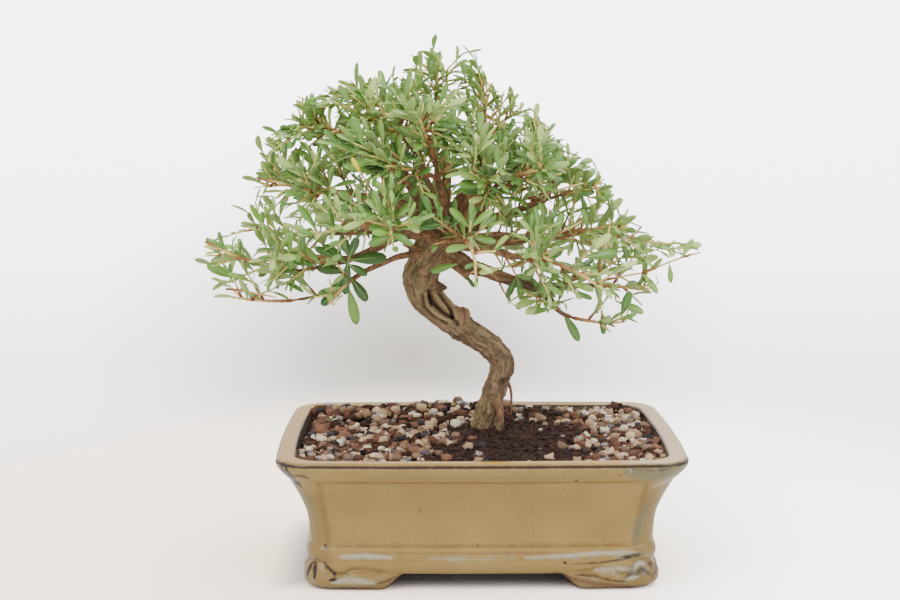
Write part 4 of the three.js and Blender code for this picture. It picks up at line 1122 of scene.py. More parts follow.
def leaf_at(pick, root, heading, angle, spread, scale):
    """One leaf: where it is rooted, the ways it points and faces, its length and its droop."""
    points = heading * math.cos(spread) + around_heading(heading, angle) * math.sin(spread)
    points.z += 0.14
    points.normalize()
    face = Vector((pick() - 0.5, pick() - 0.5, 0)) * 0.9 + up + heading * 0.45
    face = (face - points * face.dot(points)).normalized()
    length = (leaf_lengths[0] + (leaf_lengths[1] - leaf_lengths[0]) * pick()) * scale
    return {"root": root, "points": points, "face": face, "length": length, "droop": 0.05 + 0.16 * pick()}


def leaves_along(pick, line, bare_share):
    """The pairs of leaves of a twig, from its tip down to where it is bare."""
    length = (line[2] - line[0]).length
    pairs = max(1, int(length * (1 - bare_share) / leaf_node_spacing))
    turn = 0 if pick() < 0.5 else math.pi / 2
    leaves = []
    for pair in range(pairs + 1):
        share = bare_share + (1 - bare_share) * pair / pairs - (1.2 / length if pair == pairs else 0)
        root, heading = bent_point(line, share), bent_heading(line, share)
        spread = 1.05 + (0.5 - 1.05) * share + 0.2 * (pick() - 0.5)
        scale = 0.82 if pair == pairs else 1
        for side in (0, 1):
            angle = turn + side * math.pi + 0.4 * (pick() - 0.5)
            leaves.append(leaf_at(pick, root, heading, angle, spread, scale) | {"young": pair / pairs})
        turn += math.pi / 2
    return leaves


def spray_plan(seed, root, tip, rise):
    """The twigs of one spray with their leaves. The first is the main twig."""
    pick = seeded(seed)
    length = (tip - root).length
    main = (root, (root + tip) * 0.5 + up * rise, tip)
    twigs = [(main, leaves_along(pick, main, 0.42))]
    forks = min(7, max(4, math.floor(length / 8 + 0.5)))
    turn = 0 if pick() < 0.5 else math.pi
    for fork in range(forks):
        share = 0.26 + 0.6 * fork / (forks - 1)
        start, heading = bent_point(main, share), bent_heading(main, share)
        turn += (math.pi if fork % 2 else math.pi / 2) + 0.3 * (pick() - 0.5)
        reach = min(25, length * (0.56 - 0.3 * share)) * (0.85 + 0.3 * pick())
        aim = heading * 0.75 + around_heading(heading, turn) * 0.85
        aim.z += 0.3
        aim.normalize()
        line = (start, start + aim * (0.5 * reach), start + aim * reach)
        twigs.append((line, leaves_along(pick, line, 0.3)))
    return twigs


# One leaf blade, a unit long: a petiole, a narrow spoon-shaped blade folded along its midrib, and a
# round tip.
blade_half_width = 0.152
blade_rows = [(0, 0.14), (0.12, 0.2), (0.3, 0.58), (0.5, 0.9), (0.72, 1.0), (0.91, 0.74), (1, 0.26)]
blade_moulds = []
for droop in (0.05, 0.1, 0.15, 0.2):
    blade = bmesh.new()
    bmesh.ops.create_grid(blade, x_segments=2, y_segments=len(blade_rows) - 1, size=1)
    for vert in blade.verts:
        share, width = blade_rows[round((vert.co.y + 1) / 2 * (len(blade_rows) - 1))]
        side = round(vert.co.x)
        fold = 0.05 * width * abs(side) * (1 - 0.6 * share)
        vert.co = (side * width * blade_half_width, share, fold - droop * share * share)
    bmesh.ops.recalc_face_normals(blade, faces=blade.faces)
    bmesh.ops.solidify(blade, geom=blade.faces[:], thickness=0.022)
    mould = bpy.data.meshes.new("blade_mould")
    blade.to_mesh(mould)
    blade.free()
    across = np.array([vert.co.x / blade_half_width for vert in mould.vertices])
    lengthwise = np.array([vert.co.y for vert in mould.vertices])
    under = np.array([1.0 if vert.normal.z < -0.2 else 0.0 for vert in mould.vertices])
    blade_moulds.append((droop, mould, across, lengthwise, under))

leaf_green = new_finish("glossy_leaf")
blade_place = leaf_green.stored("blade_place", "Vector")
across_blade, along_blade, _ = leaf_green.axes(blade_place)
youth, chance, under = leaf_green.axes(leaf_green.stored("blade_kind", "Vector"))
mottle = leaf_green.noise(420, 4, 0.6)
deep = leaf_green.ramp(
    chance, (0.0, (0.012, 0.070, 0.022)), (0.4, (0.040, 0.175, 0.036)), (1.0, (0.20, 0.45, 0.085)))
fresh = leaf_green.ramp(
    chance, (0.0, (0.060, 0.26, 0.036)), (0.5, (0.33, 0.61, 0.090)), (1.0, (0.88, 0.98, 0.32)))
tone = leaf_green.blended(youth, deep, fresh)
tone = leaf_green.blended(
    0.2, tone, leaf_green.blended(mottle, (0.05, 0.16, 0.015), (0.50, 0.68, 0.14)))
beside_midrib = leaf_green.times(leaf_green.number("ABSOLUTE", across_blade), 7.0)
midrib = leaf_green.times(
    leaf_green.number("SUBTRACT", 1.0, beside_midrib, clamp=True),
    leaf_green.number("SUBTRACT", 1.05, along_blade, clamp=True))
tone = leaf_green.blended(leaf_green.times(midrib, 0.75), tone, (0.52, 0.60, 0.24))
petiole = leaf_green.rise(along_blade, 0.2, 0.06)
tone = leaf_green.blended(leaf_green.times(petiole, 0.8), tone, (0.33, 0.36, 0.12))
tone = leaf_green.blended(leaf_green.times(under, 0.5), tone, (0.46, 0.58, 0.24))
# A youth of 2 marks the leaf that has turned yellow.
tone = leaf_green.blended(leaf_green.number("GREATER_THAN", youth, 1.5), tone, (1.0, 0.78, 0.02))
sheen = leaf_green.node("MapRange", {"To Min": 0.2, "To Max": 0.5, "Value": under}).outputs["Result"]
veins = leaf_green.node(
    "TexWave", {"Scale": 2.2, "Distortion": 0.8, "Detail": 1, "Vector": blade_place},
    bands_direction="Y").outputs["Fac"]
relief = leaf_green.number("ADD", leaf_green.times(midrib, -1.0), leaf_green.times(veins, 0.15))
leaf_green.surface(tone, sheen, 0.55, (0.35, 0.0003, relief))

twig_bark = new_finish("twig_bark")
youth = twig_bark.stored("twig_youth", "Fac")
scaly = twig_bark.noise(900, 4, 0.65)
scales = twig_bark.times(twig_bark.number("SUBTRACT", scaly, 0.5), 0.6)
tone = twig_bark.ramp(
    twig_bark.number("ADD", youth, scales), (0.0, (0.26, 0.10, 0.045)), (0.3, (0.56, 0.28, 0.12)),
    (0.6, (0.90, 0.60, 0.22)), (0.95, (0.88, 0.76, 0.24)))
twig_bark.surface(tone, 0.7, 0.25, (0.5, 0.0003, scaly))

crown_middle = Vector((-18, 4, 190))
# The crown was clipped to this outline, [x, height], which is its shape from the front at arm's length.
view_distance, view_x, view_height = 867.7, -26.5, 262.3
clipped_outline = [
    (-153, 174), (-146, 177), (-130, 184), (-121, 195), (-122, 212), (-115, 229), (-102, 238),
    (-99, 251), (-80, 258), (-58, 265), (-43, 272), (-28, 279), (-18, 273), (-6, 279), (0, 276),
    (4, 261), (23, 253), (38, 235), (57, 219), (75, 202), (82, 190), (92, 178), (122, 172), (115, 166),
    (97, 153), (88, 137), (69, 123), (50, 120), (36, 134), (10, 142), (-20, 142), (-43, 150),
    (-58, 150), (-60, 138), (-76, 138), (-82, 141), (-100, 143), (-129, 142), (-147, 152),
]


def is_inside(x, height):
    """Whether a place lies inside the clipped outline."""
    inside = False
    for (ax, az), (bx, bz) in zip(clipped_outline, clipped_outline[1:] + clipped_outline[:1]):
        if (az > height) != (bz > height) and x < ax + (height - az) * (bx - ax) / (bz - az):
            inside = not inside
    return inside


def is_within(spot):
    """Whether a spot lies inside the clipped outline, as seen from the front."""
    nearness = view_distance / (view_distance + spot.y)
    return is_inside(view_x + (spot.x - view_x) * nearness, view_height + (spot.z - view_height) * nearness)


# Light comes through the crown at these places more than elsewhere, left, right, low, high.
thin_places = (
    (-130, -114, 176, 192), (48, 68, 159, 176), (2, 18, 238, 262), (-32, -16, 260, 272),
    (-147, -130, 159, 176), (-48, -31, 159, 178), (33, 66, 176, 190),
)


def thinned_share(spot):
    """How much was thinned out at a spot: most before the trunk and round the dark bunch at the left."""
    if 138 < spot.z < 181 and -24 < spot.x < 22 and spot.y < -14:
        return 0.82 if spot.x < 4 else 0.35
    if 138 < spot.z < 178 and -92 < spot.x < -31 and spot.y < 4:
        return 0.6
    if any(left < spot.x < right and low < spot.z < high for left, right, low, high in thin_places):
        return 0.42
    return 0.2 * smooth_share(20, 70, spot.x) + 0.25 * smooth_share(100, 114, -spot.x)


def is_kept(leaf):
    """Whether a leaf was left on when the crown was clipped and thinned."""
    end = leaf["root"] + leaf["points"] * leaf["length"] * 0.8
    if not is_within(end):
        return is_within(leaf["root"]) and draw.random() < 0.12
    return draw.random() > thinned_share(end)


def clipped(line):
    """The part of a twig that is left inside the outline."""
    start, control, end = line
    share = 1.0
    while share > 0.3 and not is_within(bent_point(line, share)):
        share -= 0.05
    return start, start + (control - start) * share, bent_point(line, share)


def turned(leaf):
    """The leaf with its face turned some way to the light outside the crown, as each grows."""
    outward = (leaf["root"] - crown_middle).normalized()
    face = leaf["face"] + outward * 0.75 + Vector(draw.uniform(-0.75, 0.75, 3).tolist())
    face = face - leaf["points"] * face.dot(leaf["points"])
    return leaf | {"face": face.normalized()} if face.length > 0.2 else leaf


def add_twig(form, line, thick, thin, steps, sides, ages):
    """A twig that swells and thins by turns. Its ages run from old bark, 0, to a green shoot, 1."""
    spots = [bent_point(line, k / steps) for k in range(steps + 1)]
    for k in range(1, steps):
        spots[k] += noise.noise_vector(spots[k] * 0.15) * 0.5
    radii = [(thick + (thin - thick) * k / steps) * (1 + 0.22 * (k % 2)) for k in range(steps + 1)]
    first_new = len(form.verts)
    add_stem(form, spots, radii, sides)
    form.verts.ensure_lookup_table()
    layer = form.verts.layers.float["twig_youth"]
    length = max((line[2] - line[0]).length, 1)
    for vert in form.verts[first_new:]:
        gone = min((vert.co - line[0]).length / length, 1)
        vert[layer] = ages[0] + (ages[1] - ages[0]) * gone


def add_leaf(form, places, kinds, leaf, youth):
    """Puts a leaf's blade in the form, and notes the place and kind of each of its corners."""
    nearest = min(blade_moulds, key=lambda entry: abs(entry[0] - leaf["droop"]))
    _, mould, across, lengthwise, under = nearest
    side = leaf["points"].cross(leaf["face"])
    put = Matrix((side, leaf["points"], leaf["face"])).transposed().to_4x4()
    hanging = 1 - 0.45 * smooth_share(0.15, 0.5, -leaf["points"].z) * (1 - leaf.get("hangs", 0))
    length = leaf["length"] * hanging
    sized = Matrix.Diagonal((length * leaf.get("breadth", 1), length, length, 1))
    put = Matrix.Translation(leaf["root"]) @ put @ sized
    mould.transform(put)
    form.from_mesh(mould)
    mould.transform(put.inverted())
    places.append(np.column_stack((across, lengthwise, np.zeros(len(across)))))
    chance = leaf.get("chance", float(draw.random()))
    kinds.append(np.column_stack((np.full(len(under), youth), np.full(len(under), chance), under)))


def leaf_object(name, form, places, kinds):
    """The leaves of one form as an object, whose layers hold what the leaf's finish reads."""
    piece = finished(name, form, leaf_green)
    for layer_name, rows in (("blade_place", places), ("blade_kind", kinds)):
        layer = piece.data.attributes.new(layer_name, "FLOAT_VECTOR", "POINT")
        layer.data.foreach_set("vector", np.concatenate(rows).ravel())
    return piece


def new_growth():
    """Empty forms for twigs and for leaves, and lists of what the layers of the leaves will hold."""
    twig_form = bmesh.new()
    twig_form.verts.layers.float.new("twig_youth")
    return twig_form, bmesh.new(), [], []


def grown(twig_name, leaf_name, twig_form, leaf_form, places, kinds):
    """The twigs and the leaves as two objects."""
    bmesh.ops.recalc_face_normals(twig_form, faces=twig_form.faces)
    return finished(twig_name, twig_form, twig_bark), leaf_object(leaf_name, leaf_form, places, kinds)


def leaf_youth(leaf, least=0.25):
    """How fresh a leaf's green is, from 0 to 1: more so at the crown's outside and a twig's end. The deeper
    green inside the crown and low in its front is partly painted shade.
    """
    outer = smooth_share(30, 95, (leaf["root"] - crown_middle).length)
    # Painted shade: leaves low in the crown's front are made deeper green.
    painted_low_front_shade = 0.3 * smooth_share(6, 34, -leaf["root"].y) * (1 - smooth_share(215, 250, leaf["root"].z))
    chance = 0.4 * (float(draw.random()) - 0.5)
    return min(max(least + 0.1 + 0.4 * leaf["young"] + 0.35 * outer - painted_low_front_shade + chance, 0), 1)


def axil_leaves(leaves, heading, chance):
    """Small leaves in the axils of grown ones, which stand closer to the twig."""
    small = []
    for leaf in leaves:
        if draw.random() > chance:
            continue
        points = (leaf["points"] + heading * float(draw.uniform(0.4, 1.2))
                  + Vector(draw.uniform(-0.5, 0.5, 3).tolist())).normalized()
        face = leaf["face"] + Vector(draw.uniform(-0.5, 0.5, 3).tolist())
        face = (face - points * face.dot(points)).normalized()
        small.append({"root": leaf["root"], "points": points, "face": face, "young": 0.9,
                      "length": leaf["length"] * float(draw.uniform(0.3, 0.6)), "droop": 0.08})
    return small


def shoot_from(line, share, reach, lift, pick):
    """A short shoot that leaves a twig sideways, with its leaves."""
    start, heading = bent_point(line, share), bent_heading(line, share)
    aim = heading * 0.6 + around_heading(heading, 2 * math.pi * pick()) * 0.9
    aim.z += lift
    aim.normalize()
    end = start + aim * reach
    shoot = (start, (start + end) * 0.5 + up * (0.06 * reach * (pick() - 0.3)), end)
    leaves = leaves_along(pick, shoot, 0.25)
    for leaf in leaves:
        leaf["length"] *= 0.62 + 0.36 * pick()
    return shoot, leaves


# Shoots that fill out the crown: the spray they leave, their place along its main twig, and their end.
filling_shoots = [
    (14, 0.5, (-97, -8, 250)), (14, 0.65, (-112, -4, 230)), (14, 0.6, (-110, 18, 236)),
    (14, 0.8, (-95, 6, 255)), (14, 0.45, (-100, -14, 236)), (16, 0.45, (-80, -12, 254)),
    (16, 0.6, (-88, 6, 258)), (16, 0.7, (-72, -14, 264)), (16, 0.5, (-78, 18, 252)),
    (17, 0.7, (-76, -34, 250)), (17, 0.8, (-70, -24, 258)), (11, 0.6, (-116, -10, 224)),
    (11, 0.5, (-108, 8, 222)), (18, 0.6, (-12, 4, 270)), (18, 0.75, (-8, 14, 276)),
    (18, 0.5, (-34, 0, 268)), (18, 0.8, (-38, 12, 276)), (20, 0.5, (-8, -2, 262)),
    (20, 0.7, (-2, 4, 272)), (36, 0.5, (-14, -44, 238)), (36, 0.7, (-18, -50, 248)),
    (36, 0.8, (-44, -46, 254)), (39, 0.6, (-10, -50, 226)), (39, 0.8, (-2, -44, 234)),
    (37, 0.7, (-66, -46, 230)), (37, 0.5, (-58, -42, 234)), (12, 0.7, (-96, -34, 216)),
    (20, 0.4, (-10, -14, 250)), (20, 0.35, (-3, -20, 246)), (36, 0.9, (-16, -40, 252)),
    (18, 0.4, (-12, -6, 256)), (39, 0.7, (-8, -46, 232)), (39, 0.6, (-14, -40, 237)),
    (21, 0.4, (-6, -4, 238)), (26, 0.8, (96, -4, 170)), (26, 0.6, (88, -8, 166)),
    (26, 0.7, (92, 14, 164)), (3, 0.7, (90, -14, 160)), (26, 0.9, (110, 0, 169)),
    (14, 0.55, (-104, -16, 228)), (14, 0.5, (-98, -22, 232)), (13, 0.8, (-108, 6, 226)),
    (14, 0.7, (-112, -10, 222)), (5, 0.6, (-108, -26, 153)), (7, 0.4, (-106, -20, 155)),
    (8, 0.8, (-112, -30, 157)), (27, 0.8, (84, -18, 172)), (24, 0.7, (66, -12, 196)),
    (24, 0.3, (48, -24, 186)), (27, 0.5, (56, -26, 181)), (27, 0.6, (67, -26, 177)),
    (35, 0.4, (30, -38, 176)), (14, 0.75, (-92, -6, 247)), (16, 0.5, (-86, -10, 247)),
    (14, 0.55, (-90, 10, 250)), (16, 0.65, (-84, 4, 252)), (27, 0.3, (46, -26, 174)),
    (16, 0.8, (-74, -10, 262)), (36, 0.8, (-30, -44, 250)), (23, 0.5, (16, -30, 222)),
]
# More of them stand before the limbs, each from the nearest main twig in the crown's front. The last of
# them crowd together to the right of the trunk.
front_twigs = [7, 11, 31, 32, 33, 34, 35, 36, 37, 38, 39, 23, 27]
scattered_count, crowded_count = 34, 12
for k in range(scattered_count + crowded_count):
    end = Vector([float(draw.uniform(least, most)) for least, most in ((-78, 34), (-52, -24), (172, 238))])
    if k >= scattered_count:
        end = Vector((2 + (end.x + 78) * 0.28, end.y, 186 + (end.z - 172) * 0.36))
    nearest_twig = []
    for spray in front_twigs:
        limb, place_along, tip, rise = sprays[spray - 1]
        root = line_point(limbs[limb], place_along)
        line = (root, (root + Vector(tip)) * 0.5 + up * rise, Vector(tip))
        for share in (0.1, 0.3, 0.5, 0.7):
            nearest_twig.append(((bent_point(line, share) - end).length, spray, share))
    reach, spray, share = min(nearest_twig)
    if 7 < reach < 38:
        filling_shoots.append((spray, share, tuple(end)))
for index, (limb, share, tip, rise) in enumerate(sprays):
    number_name = f"{index + 1:02d}"
    node_name = "spray_" + number_name
    root = line_point(limbs[limb], share)
    twigs = spray_plan(100 + 7 * index, root, Vector(tip), rise)
    pick = seeded(9000 + 31 * index)
    twig_form, leaf_form, places, kinds = new_growth()
    short_shoots = []
    short_count = (1 + 5 * smooth_share(150, 215, tip[2])) * (1 - 0.6 * smooth_share(30, 75, tip[0]))
    for k in range(round(short_count)):
        line = twigs[0][0] if k < 4 else twigs[1 + int(pick() * (len(twigs) - 1))][0]
        short_shoots.append(shoot_from(line, 0.15 + 0.75 * pick(), 8 + 10 * pick(), 0.6, pick))
    for spray, place_along, end in filling_shoots:
        if spray == index + 1:
            start = bent_point(twigs[0][0], place_along)
            shoot = (start, (start + Vector(end)) * 0.5 + up * 1.5, Vector(end))
            short_shoots.append((shoot, leaves_along(pick, shoot, 0.3)))
    for k, (line, leaves) in enumerate(twigs + short_shoots):
        if k == 0:
            add_twig(twig_form, clipped(line), 1.0 if index in (0, 4, 5) else 1.4, 0.6, 16, 6, (0, 0.9))
        elif not is_within(line[0]) or draw.random() < thinned_share(line[2]) - 0.25:
            continue
        elif k < len(twigs):
            add_twig(twig_form, clipped(line), 0.78, 0.46, 7, 5, (0.4, 1))
        else:
            add_twig(twig_form, clipped(line), 0.64, 0.4, 4, 5, (0.3, 1))
        for leaf in leaves:
            leaf["length"] *= float(draw.uniform(0.66, 1))
            leaf["breadth"] = float(draw.uniform(0.72, 1.02))
        for leaf in leaves + axil_leaves(leaves, (line[2] - line[0]).normalized(), 0.3):
            if is_kept(leaf):
                add_leaf(leaf_form, places, kinds, turned(leaf), leaf_youth(leaf))
    for piece in grown("twigs_" + number_name, "leaves_" + number_name, twig_form, leaf_form, places, kinds):
        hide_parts(node_name)
        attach(piece, "root")

# Short shoots stand all along the limbs inside the crown, rusty and thin, with a few older leaves each.
for group in ("left", "right", "front", "back", "top"):
    pick = seeded(700 + len(group))
    twig_form, leaf_form, places, kinds = new_growth()
    for limb, points in limbs.items():
        if not limb.startswith(group):
            continue
        length = sum((Vector(b[:3]) - Vector(a[:3])).length for a, b in zip(points, points[1:]))
        shoot_count = round(length / 7.5)
        for k in range(shoot_count):
            share = 0.25 + 0.72 * (k + pick()) / shoot_count
            if points[-1][2] < 162 and pick() < 0.6:
                continue
            here, ahead = line_point(points, share), line_point(points, min(share + 0.05, 1))
            line = (here, (here + ahead) * 0.5, ahead + (ahead - here) * 0.01)
            shoot, leaves = shoot_from(line, 0, 13 + 17 * pick(), 0.4, pick)
            if not is_within(shoot[2]) or draw.random() < thinned_share(shoot[2]) - 0.2:
                continue
            add_twig(twig_form, shoot, 0.7, 0.36, 6, 5, (0, 0.7))
            inner = (shoot[2] - crown_middle).length < 62
            for leaf in leaves + axil_leaves(leaves, (shoot[2] - shoot[0]).normalized(), 0.35):
                if is_kept(leaf) and draw.random() > (0.5 if inner else 0.1):
                    add_leaf(leaf_form, places, kinds, turned(leaf), leaf_youth(leaf, 0.05))
    for piece in grown("limb_shoots_" + group, "limb_leaves_" + group, twig_form, leaf_form, places, kinds):
        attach(piece, "root")

# The leaves that stand apart: long ones that hang on short twigs under the crown, a dark bunch at its
# left, broad pale ones in front of the trunk, and one that has turned yellow.
lone_shoots = [
    ((-71, -12, 155), (-70.6, -16, 152.5)), ((-70, -11.5, 155.5), (-70, -19, 167)),
    ((43, -12.6, 138.6), (44.6, -11, 137.6)), ((65, -18, 134.6), (65.7, -12, 139)),
    ((42, -12.4, 139.6), (38.8, -12, 139.4)), ((20, -6.4, 153.8), (19.8, -20, 158.8)),
    ((-7, -7.4, 157), (-2.2, -12, 160)), ((72, -5, 149.8), (73.4, -10, 143.4)),
    ((47, -6, 151), (49.1, -16, 149.2)), ((7, -21, 171.6), (11.4, -30, 164)),
    ((-56, -44, 205), (-61.6, -50, 214)), ((19, -34, 203.3), (40.7, -40, 214)),
    ((24.4, -30, 199.9), (52.3, -38, 208.7)), ((33.3, -40, 178.4), (50.9, -44, 189.1)),
    ((62, -30, 161), (67, -34, 186.1)), ((16.1, -34, 164.7), (32.5, -38, 170.4)),
    ((64.8, -14, 154.8), (85.9, -20, 159.8)), ((85.9, -20, 159.8), (107.7, -22, 168.5)),
    ((107.7, -22, 168.5), (116.7, -22, 171.1)), ((-144.3, -28, 177.4), (-128.1, -30, 169.2)),
    ((-128.1, -30, 169.2), (-100.3, -26, 163.4)), ((-134.3, -24, 152.1), (-107.9, -26, 148)),
    ((-117, -20, 210.3), (-99.9, -24, 206.4)), ((-99.9, -24, 206.4), (-79.3, -20, 200.8)),
    ((16.3, -24, 219.9), (33.8, -20, 228.6)), ((20.8, -18, 226.9), (38.4, -14, 237.3)),
    ((-70.2, -36, 236.9), (-81.7, -34, 232.3)),
]
lone_leaves = [
    # foot, tip, youth, chance
    ((-70.4, -16, 152.3), (-65.6, -17, 132), 0.7, 0.5),
    ((-72.4, -16, 152.4), (-84.8, -19, 143.1), 0, 0.1),
    ((-70.6, -18, 162.4), (-78.7, -20, 146.7), 0, 0.2),
    ((-69.6, -16, 158), (-60, -19, 145.2), 0, 0.05), ((-70, -19, 167), (-71.6, -22, 153.4), 0, 0.3),
    ((-70, -19, 166.6), (-50, -21, 169), 0, 0.15), ((-70, -18, 164), (-82.4, -19, 175), 0, 0.4),
    ((-70, -17, 160), (-86, -20, 163), 0, 0.1), ((44.6, -11, 137.6), (54.2, -12, 122.1), 0.2, 0.5),
    ((65.7, -12, 139), (67, -13, 125.7), 0.1, 0.4), ((38.8, -12, 139.4), (25.2, -13, 138), 0.3, 0.6),
    ((19.8, -20, 158.8), (22, -21, 145.7), 0.1, 0.6), ((19.8, -20, 158.8), (14, -22, 147), 0.1, 0.2),
    ((-2.2, -12, 160), (-1.7, -13, 152.4), 0.2, 0.3),
    ((73.4, -10, 143.4), (88.6, -11, 137.6), 0.5, 0.6),
    ((49.1, -16, 149.2), (46.9, -17, 158.8), 0.4, 0.8), ((49.1, -16, 149.2), (60, -17, 146), 0.3, 0.3),
    ((11.4, -30, 164), (-1, -31, 161.6), 0.95, 0.9), ((11.4, -30, 164), (23.1, -31, 166.9), 0.9, 0.8),
    ((-61.6, -50, 214), (-65.6, -53, 222.4), 2, 0.5), ((-7.6, -8, 157.4), (-3, -12, 151.6), 0.1, 0.2),
    ((-71, -19, 165), (-60, -24, 160), 0, 0.2), ((-70, -20, 167), (-65, -24, 179), 0, 0.1),
    ((-68.6, -20, 167), (-73, -24, 180), 0, 0.3), ((-76, -20, 168), (-87, -22, 174), 0, 0.2),
    ((-86, -20, 164), (-99, -22, 167), 0.2, 0.3), ((-72, -20, 160), (-78, -22, 150), 0, 0.05),
    ((-71, -20, 161), (-71.5, -23, 149), 0, 0.15), ((-84, -20, 164), (-92, -24, 174), 0.3, 0.6),
    ((-84, -20, 163), (-74, -24, 170), 0.4, 0.8), ((-12, -30, 166), (-26, -33, 162.6), 0.8, 0.3),
    ((86, -20, 160), (94, -24, 150), 0.6, 0.6), ((106, -22, 168), (112, -24, 178), 0.7, 0.7),
    ((100, -22, 165.6), (101, -24, 155), 0.6, 0.5),
]
twig_form, leaf_form, places, kinds = new_growth()
for start, end in lone_shoots:
    start, end = Vector(start), Vector(end)
    add_twig(twig_form, (start, (start + end) * 0.5 + up * 0.6, end), 0.7, 0.4, 4, 6, (0.2, 0.8))
for foot, tip, age, chance in lone_leaves:
    points = Vector(tip) - Vector(foot)
    face = Vector((0.15, -1, 0.5))
    heading = points.normalized()
    face = (face - heading * face.dot(heading)).normalized()
    leaf = {"root": Vector(foot), "points": heading, "face": face, "length": points.length, "droop": 0.1,
            "chance": chance, "hangs": 1, "breadth": 1.15 if age == 0 else 0.92}
    add_leaf(leaf_form, places, kinds, leaf, age)
for piece in grown("lone_twigs", "lone_leaves", twig_form, leaf_form, places, kinds):
    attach(piece, "root")

# A seedling that came up by itself in the grit at the left: a green stalk with five tiny leaves.
seedling_foot = Vector((-82.6, 26, soil_height(-82.6, 26) - 0.5))
twig_form, leaf_form, places, kinds = new_growth()
stalk = (seedling_foot, seedling_foot + up * 2, seedling_foot + Vector((0.4, 0, 4.4)))
add_twig(twig_form, stalk, 0.4, 0.3, 4, 6, (1, 1))
for height, turn, length in (
    (3.3, 0.3, 3.2), (3.3, 3.4, 3.0), (4.4, 1.9, 2.8), (4.4, 5.1, 2.6), (4.4, 4.2, 2.4),
):
    points = Vector((math.cos(turn), math.sin(turn), 0.5)).normalized()
    face = (up - points * points.z).normalized()
    leaf = {"root": seedling_foot + up * height, "points": points, "face": face, "length": length,
            "droop": 0.1, "chance": 0.9, "breadth": 1.9}
    add_leaf(leaf_form, places, kinds, leaf, 0.9)
for piece in grown("seedling_stalk", "seedling_leaves", twig_form, leaf_form, places, kinds):
    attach(piece, "root")
for _, mould, _, _, _ in blade_moulds:
    bpy.data.meshes.remove(mould)

# The floor: a plain pale sheet of paper under the pot, a little warm, which fades into the white behind it.
# It carries a painted shadow under the pot and painted shade towards the left.
floor_form = bmesh.new()
bmesh.ops.create_circle(floor_form, cap_ends=True, segments=96, radius=1200)
floor_paint = new_finish("pale_floor")
floor_paint.tree.nodes.remove(floor_paint.shader)
bounce = floor_paint.node("BsdfDiffuse", {"Color": (0.8, 0.79, 0.78, 1)})
sideways, back, _ = floor_paint.axes(floor_paint.coordinates["Object"])
beyond = floor_paint.number(
    "MAXIMUM",
    floor_paint.number("SUBTRACT", floor_paint.number("ABSOLUTE", sideways), 0.084),
    floor_paint.number("SUBTRACT", floor_paint.number("ABSOLUTE", back), 0.058))
# Painted shadow: the paper is dark under the pot's footprint. Painted shade: in the open it is darker and
# warmer towards the left.
painted_shadow_under_pot = (0.88, 0.85, 0.84)
open_floor_with_painted_left_shade = floor_paint.blended(
    floor_paint.rise(sideways, -0.12, 0.2), (2.25, 1.80, 1.52), (2.9, 2.75, 2.6))
paper_tone = floor_paint.blended(floor_paint.rise(beyond, -0.006, 0.012), painted_shadow_under_pot, open_floor_with_painted_left_shade)
paper = floor_paint.node("BsdfDiffuse", {"Color": paper_tone})
seen = floor_paint.node("LightPath").outputs["Is Camera Ray"]
lit = floor_paint.node("MixShader", {0: seen, 1: bounce.outputs[0], 2: paper.outputs[0]})
clear = floor_paint.node("BsdfTransparent")
away = floor_paint.node("VectorMath", {0: floor_paint.coordinates["Object"]}, operation="LENGTH")
fade = floor_paint.node(
    "MapRange", {"From Min": 0.22, "From Max": 0.55, "Value": away.outputs["Value"]},
    interpolation_type="SMOOTHSTEP")
faded = floor_paint.node("MixShader", {0: fade.outputs["Result"], 1: lit.outputs[0], 2: clear.outputs[0]})
floor_paint.put(floor_paint.tree.nodes["Material Output"], "Surface", faded.outputs[0])
floor = finished("floor", floor_form, floor_paint)

# The light is that of a white tent: bright all round and above, a broad soft lamp over the left shoulder of
# the camera, a fainter one from the right and one from above and behind. What the camera sees is white.
world = bpy.data.worlds.new("white_tent")
bpy.context.scene.world = world
sky = Wiring(world)
tent_light = sky.tree.nodes["Background"]
tent_light.inputs["Color"].default_value = (0.96, 0.98, 1.0, 1)
tent_light.inputs["Strength"].default_value = 1.1
direction = sky.coordinates["Generated"]
shade = sky.ramp(
    sky.rise(sky.axes(direction)["Z"], -0.25, 0.05),
    (0.0, (0.58, 0.575, 0.575)), (0.27, (0.60, 0.60, 0.605)), (0.38, (0.70, 0.70, 0.715)),
    (0.58, (0.88, 0.88, 0.91)), (1.0, (0.985, 0.98, 1.0)))
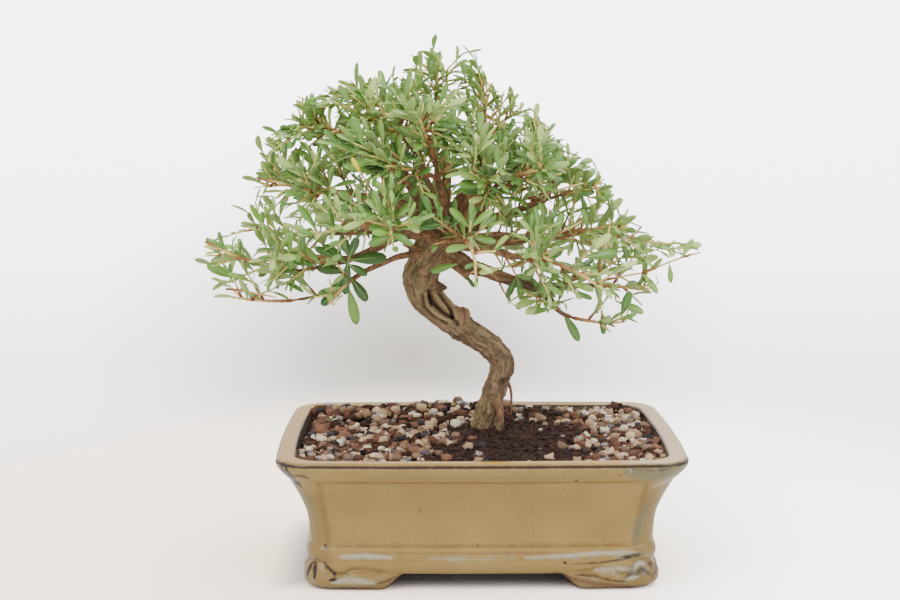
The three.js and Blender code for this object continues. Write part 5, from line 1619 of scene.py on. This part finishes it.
# A soft shadow lies on the backdrop behind the trunk.
behind_trunk = sky.node("VectorMath", {0: direction, 1: (-0.013, 0.986, -0.170)}, operation="SUBTRACT")
shadow_size = (1 / 0.112, 0.5, 1 / 0.084)
spread = sky.node("VectorMath", {0: behind_trunk.outputs["Vector"], 1: shadow_size}, operation="MULTIPLY")
distance = sky.node("VectorMath", {0: spread.outputs["Vector"]}, operation="LENGTH").outputs["Value"]
shadow = sky.ramp(
    sky.times(distance, 0.5),
    (0.0, (0.30, 0.275, 0.24)), (0.25, (0.40, 0.385, 0.35)), (0.45, (0.60, 0.59, 0.56)),
    (0.65, (0.79, 0.785, 0.77)), (0.9, (1, 1, 1)))
backdrop = sky.node("Background", {"Strength": 6.3, "Color": sky.blended(1, shade, shadow, "MULTIPLY")})
seen = sky.node("LightPath").outputs["Is Camera Ray"]
either = sky.node("MixShader", {0: seen, 1: tent_light.outputs[0], 2: backdrop.outputs[0]})
sky.put(sky.tree.nodes["World Output"], "Surface", either.outputs[0])
for name, spot, size, power, colour in (
    ("soft_key", (-0.9, -1.0, 1.5), 1.2, 20, (1.0, 0.98, 0.95)),
    ("soft_fill", (1.2, -0.7, 0.9), 1.2, 8, (0.97, 0.98, 1.0)),
    ("top_light", (0.3, 0.7, 1.5), 1.2, 14, (1.0, 1.0, 1.0)),
):
    lamp = bpy.data.lights.new(name, "AREA")
    lamp.size = size
    lamp.energy = power
    lamp.color = colour
    holder = bpy.data.objects.new(name, lamp)
    bpy.context.scene.collection.objects.link(holder)
    holder.location = spot
    holder.rotation_euler = (Vector((0, 0, 0.12)) - Vector(spot)).to_track_quat("-Z", "Y").to_euler()

# The camera stands where the photograph was taken from: 0.87 m in front, level with the upper crown.
camera_data = bpy.data.cameras.new("camera")
camera_data.sensor_width = 36
camera_data.lens = 64.4
camera = bpy.data.objects.new("camera", camera_data)
bpy.context.scene.collection.objects.link(camera)
camera.location = pot_middle + Vector((view_x, -view_distance, view_height)) * mm
aim_at = pot_middle + Vector((-15.85, 0, 142.7)) * mm
camera.rotation_euler = (aim_at - camera.location).to_track_quat("-Z", "Y").to_euler()
bpy.context.scene.camera = camera
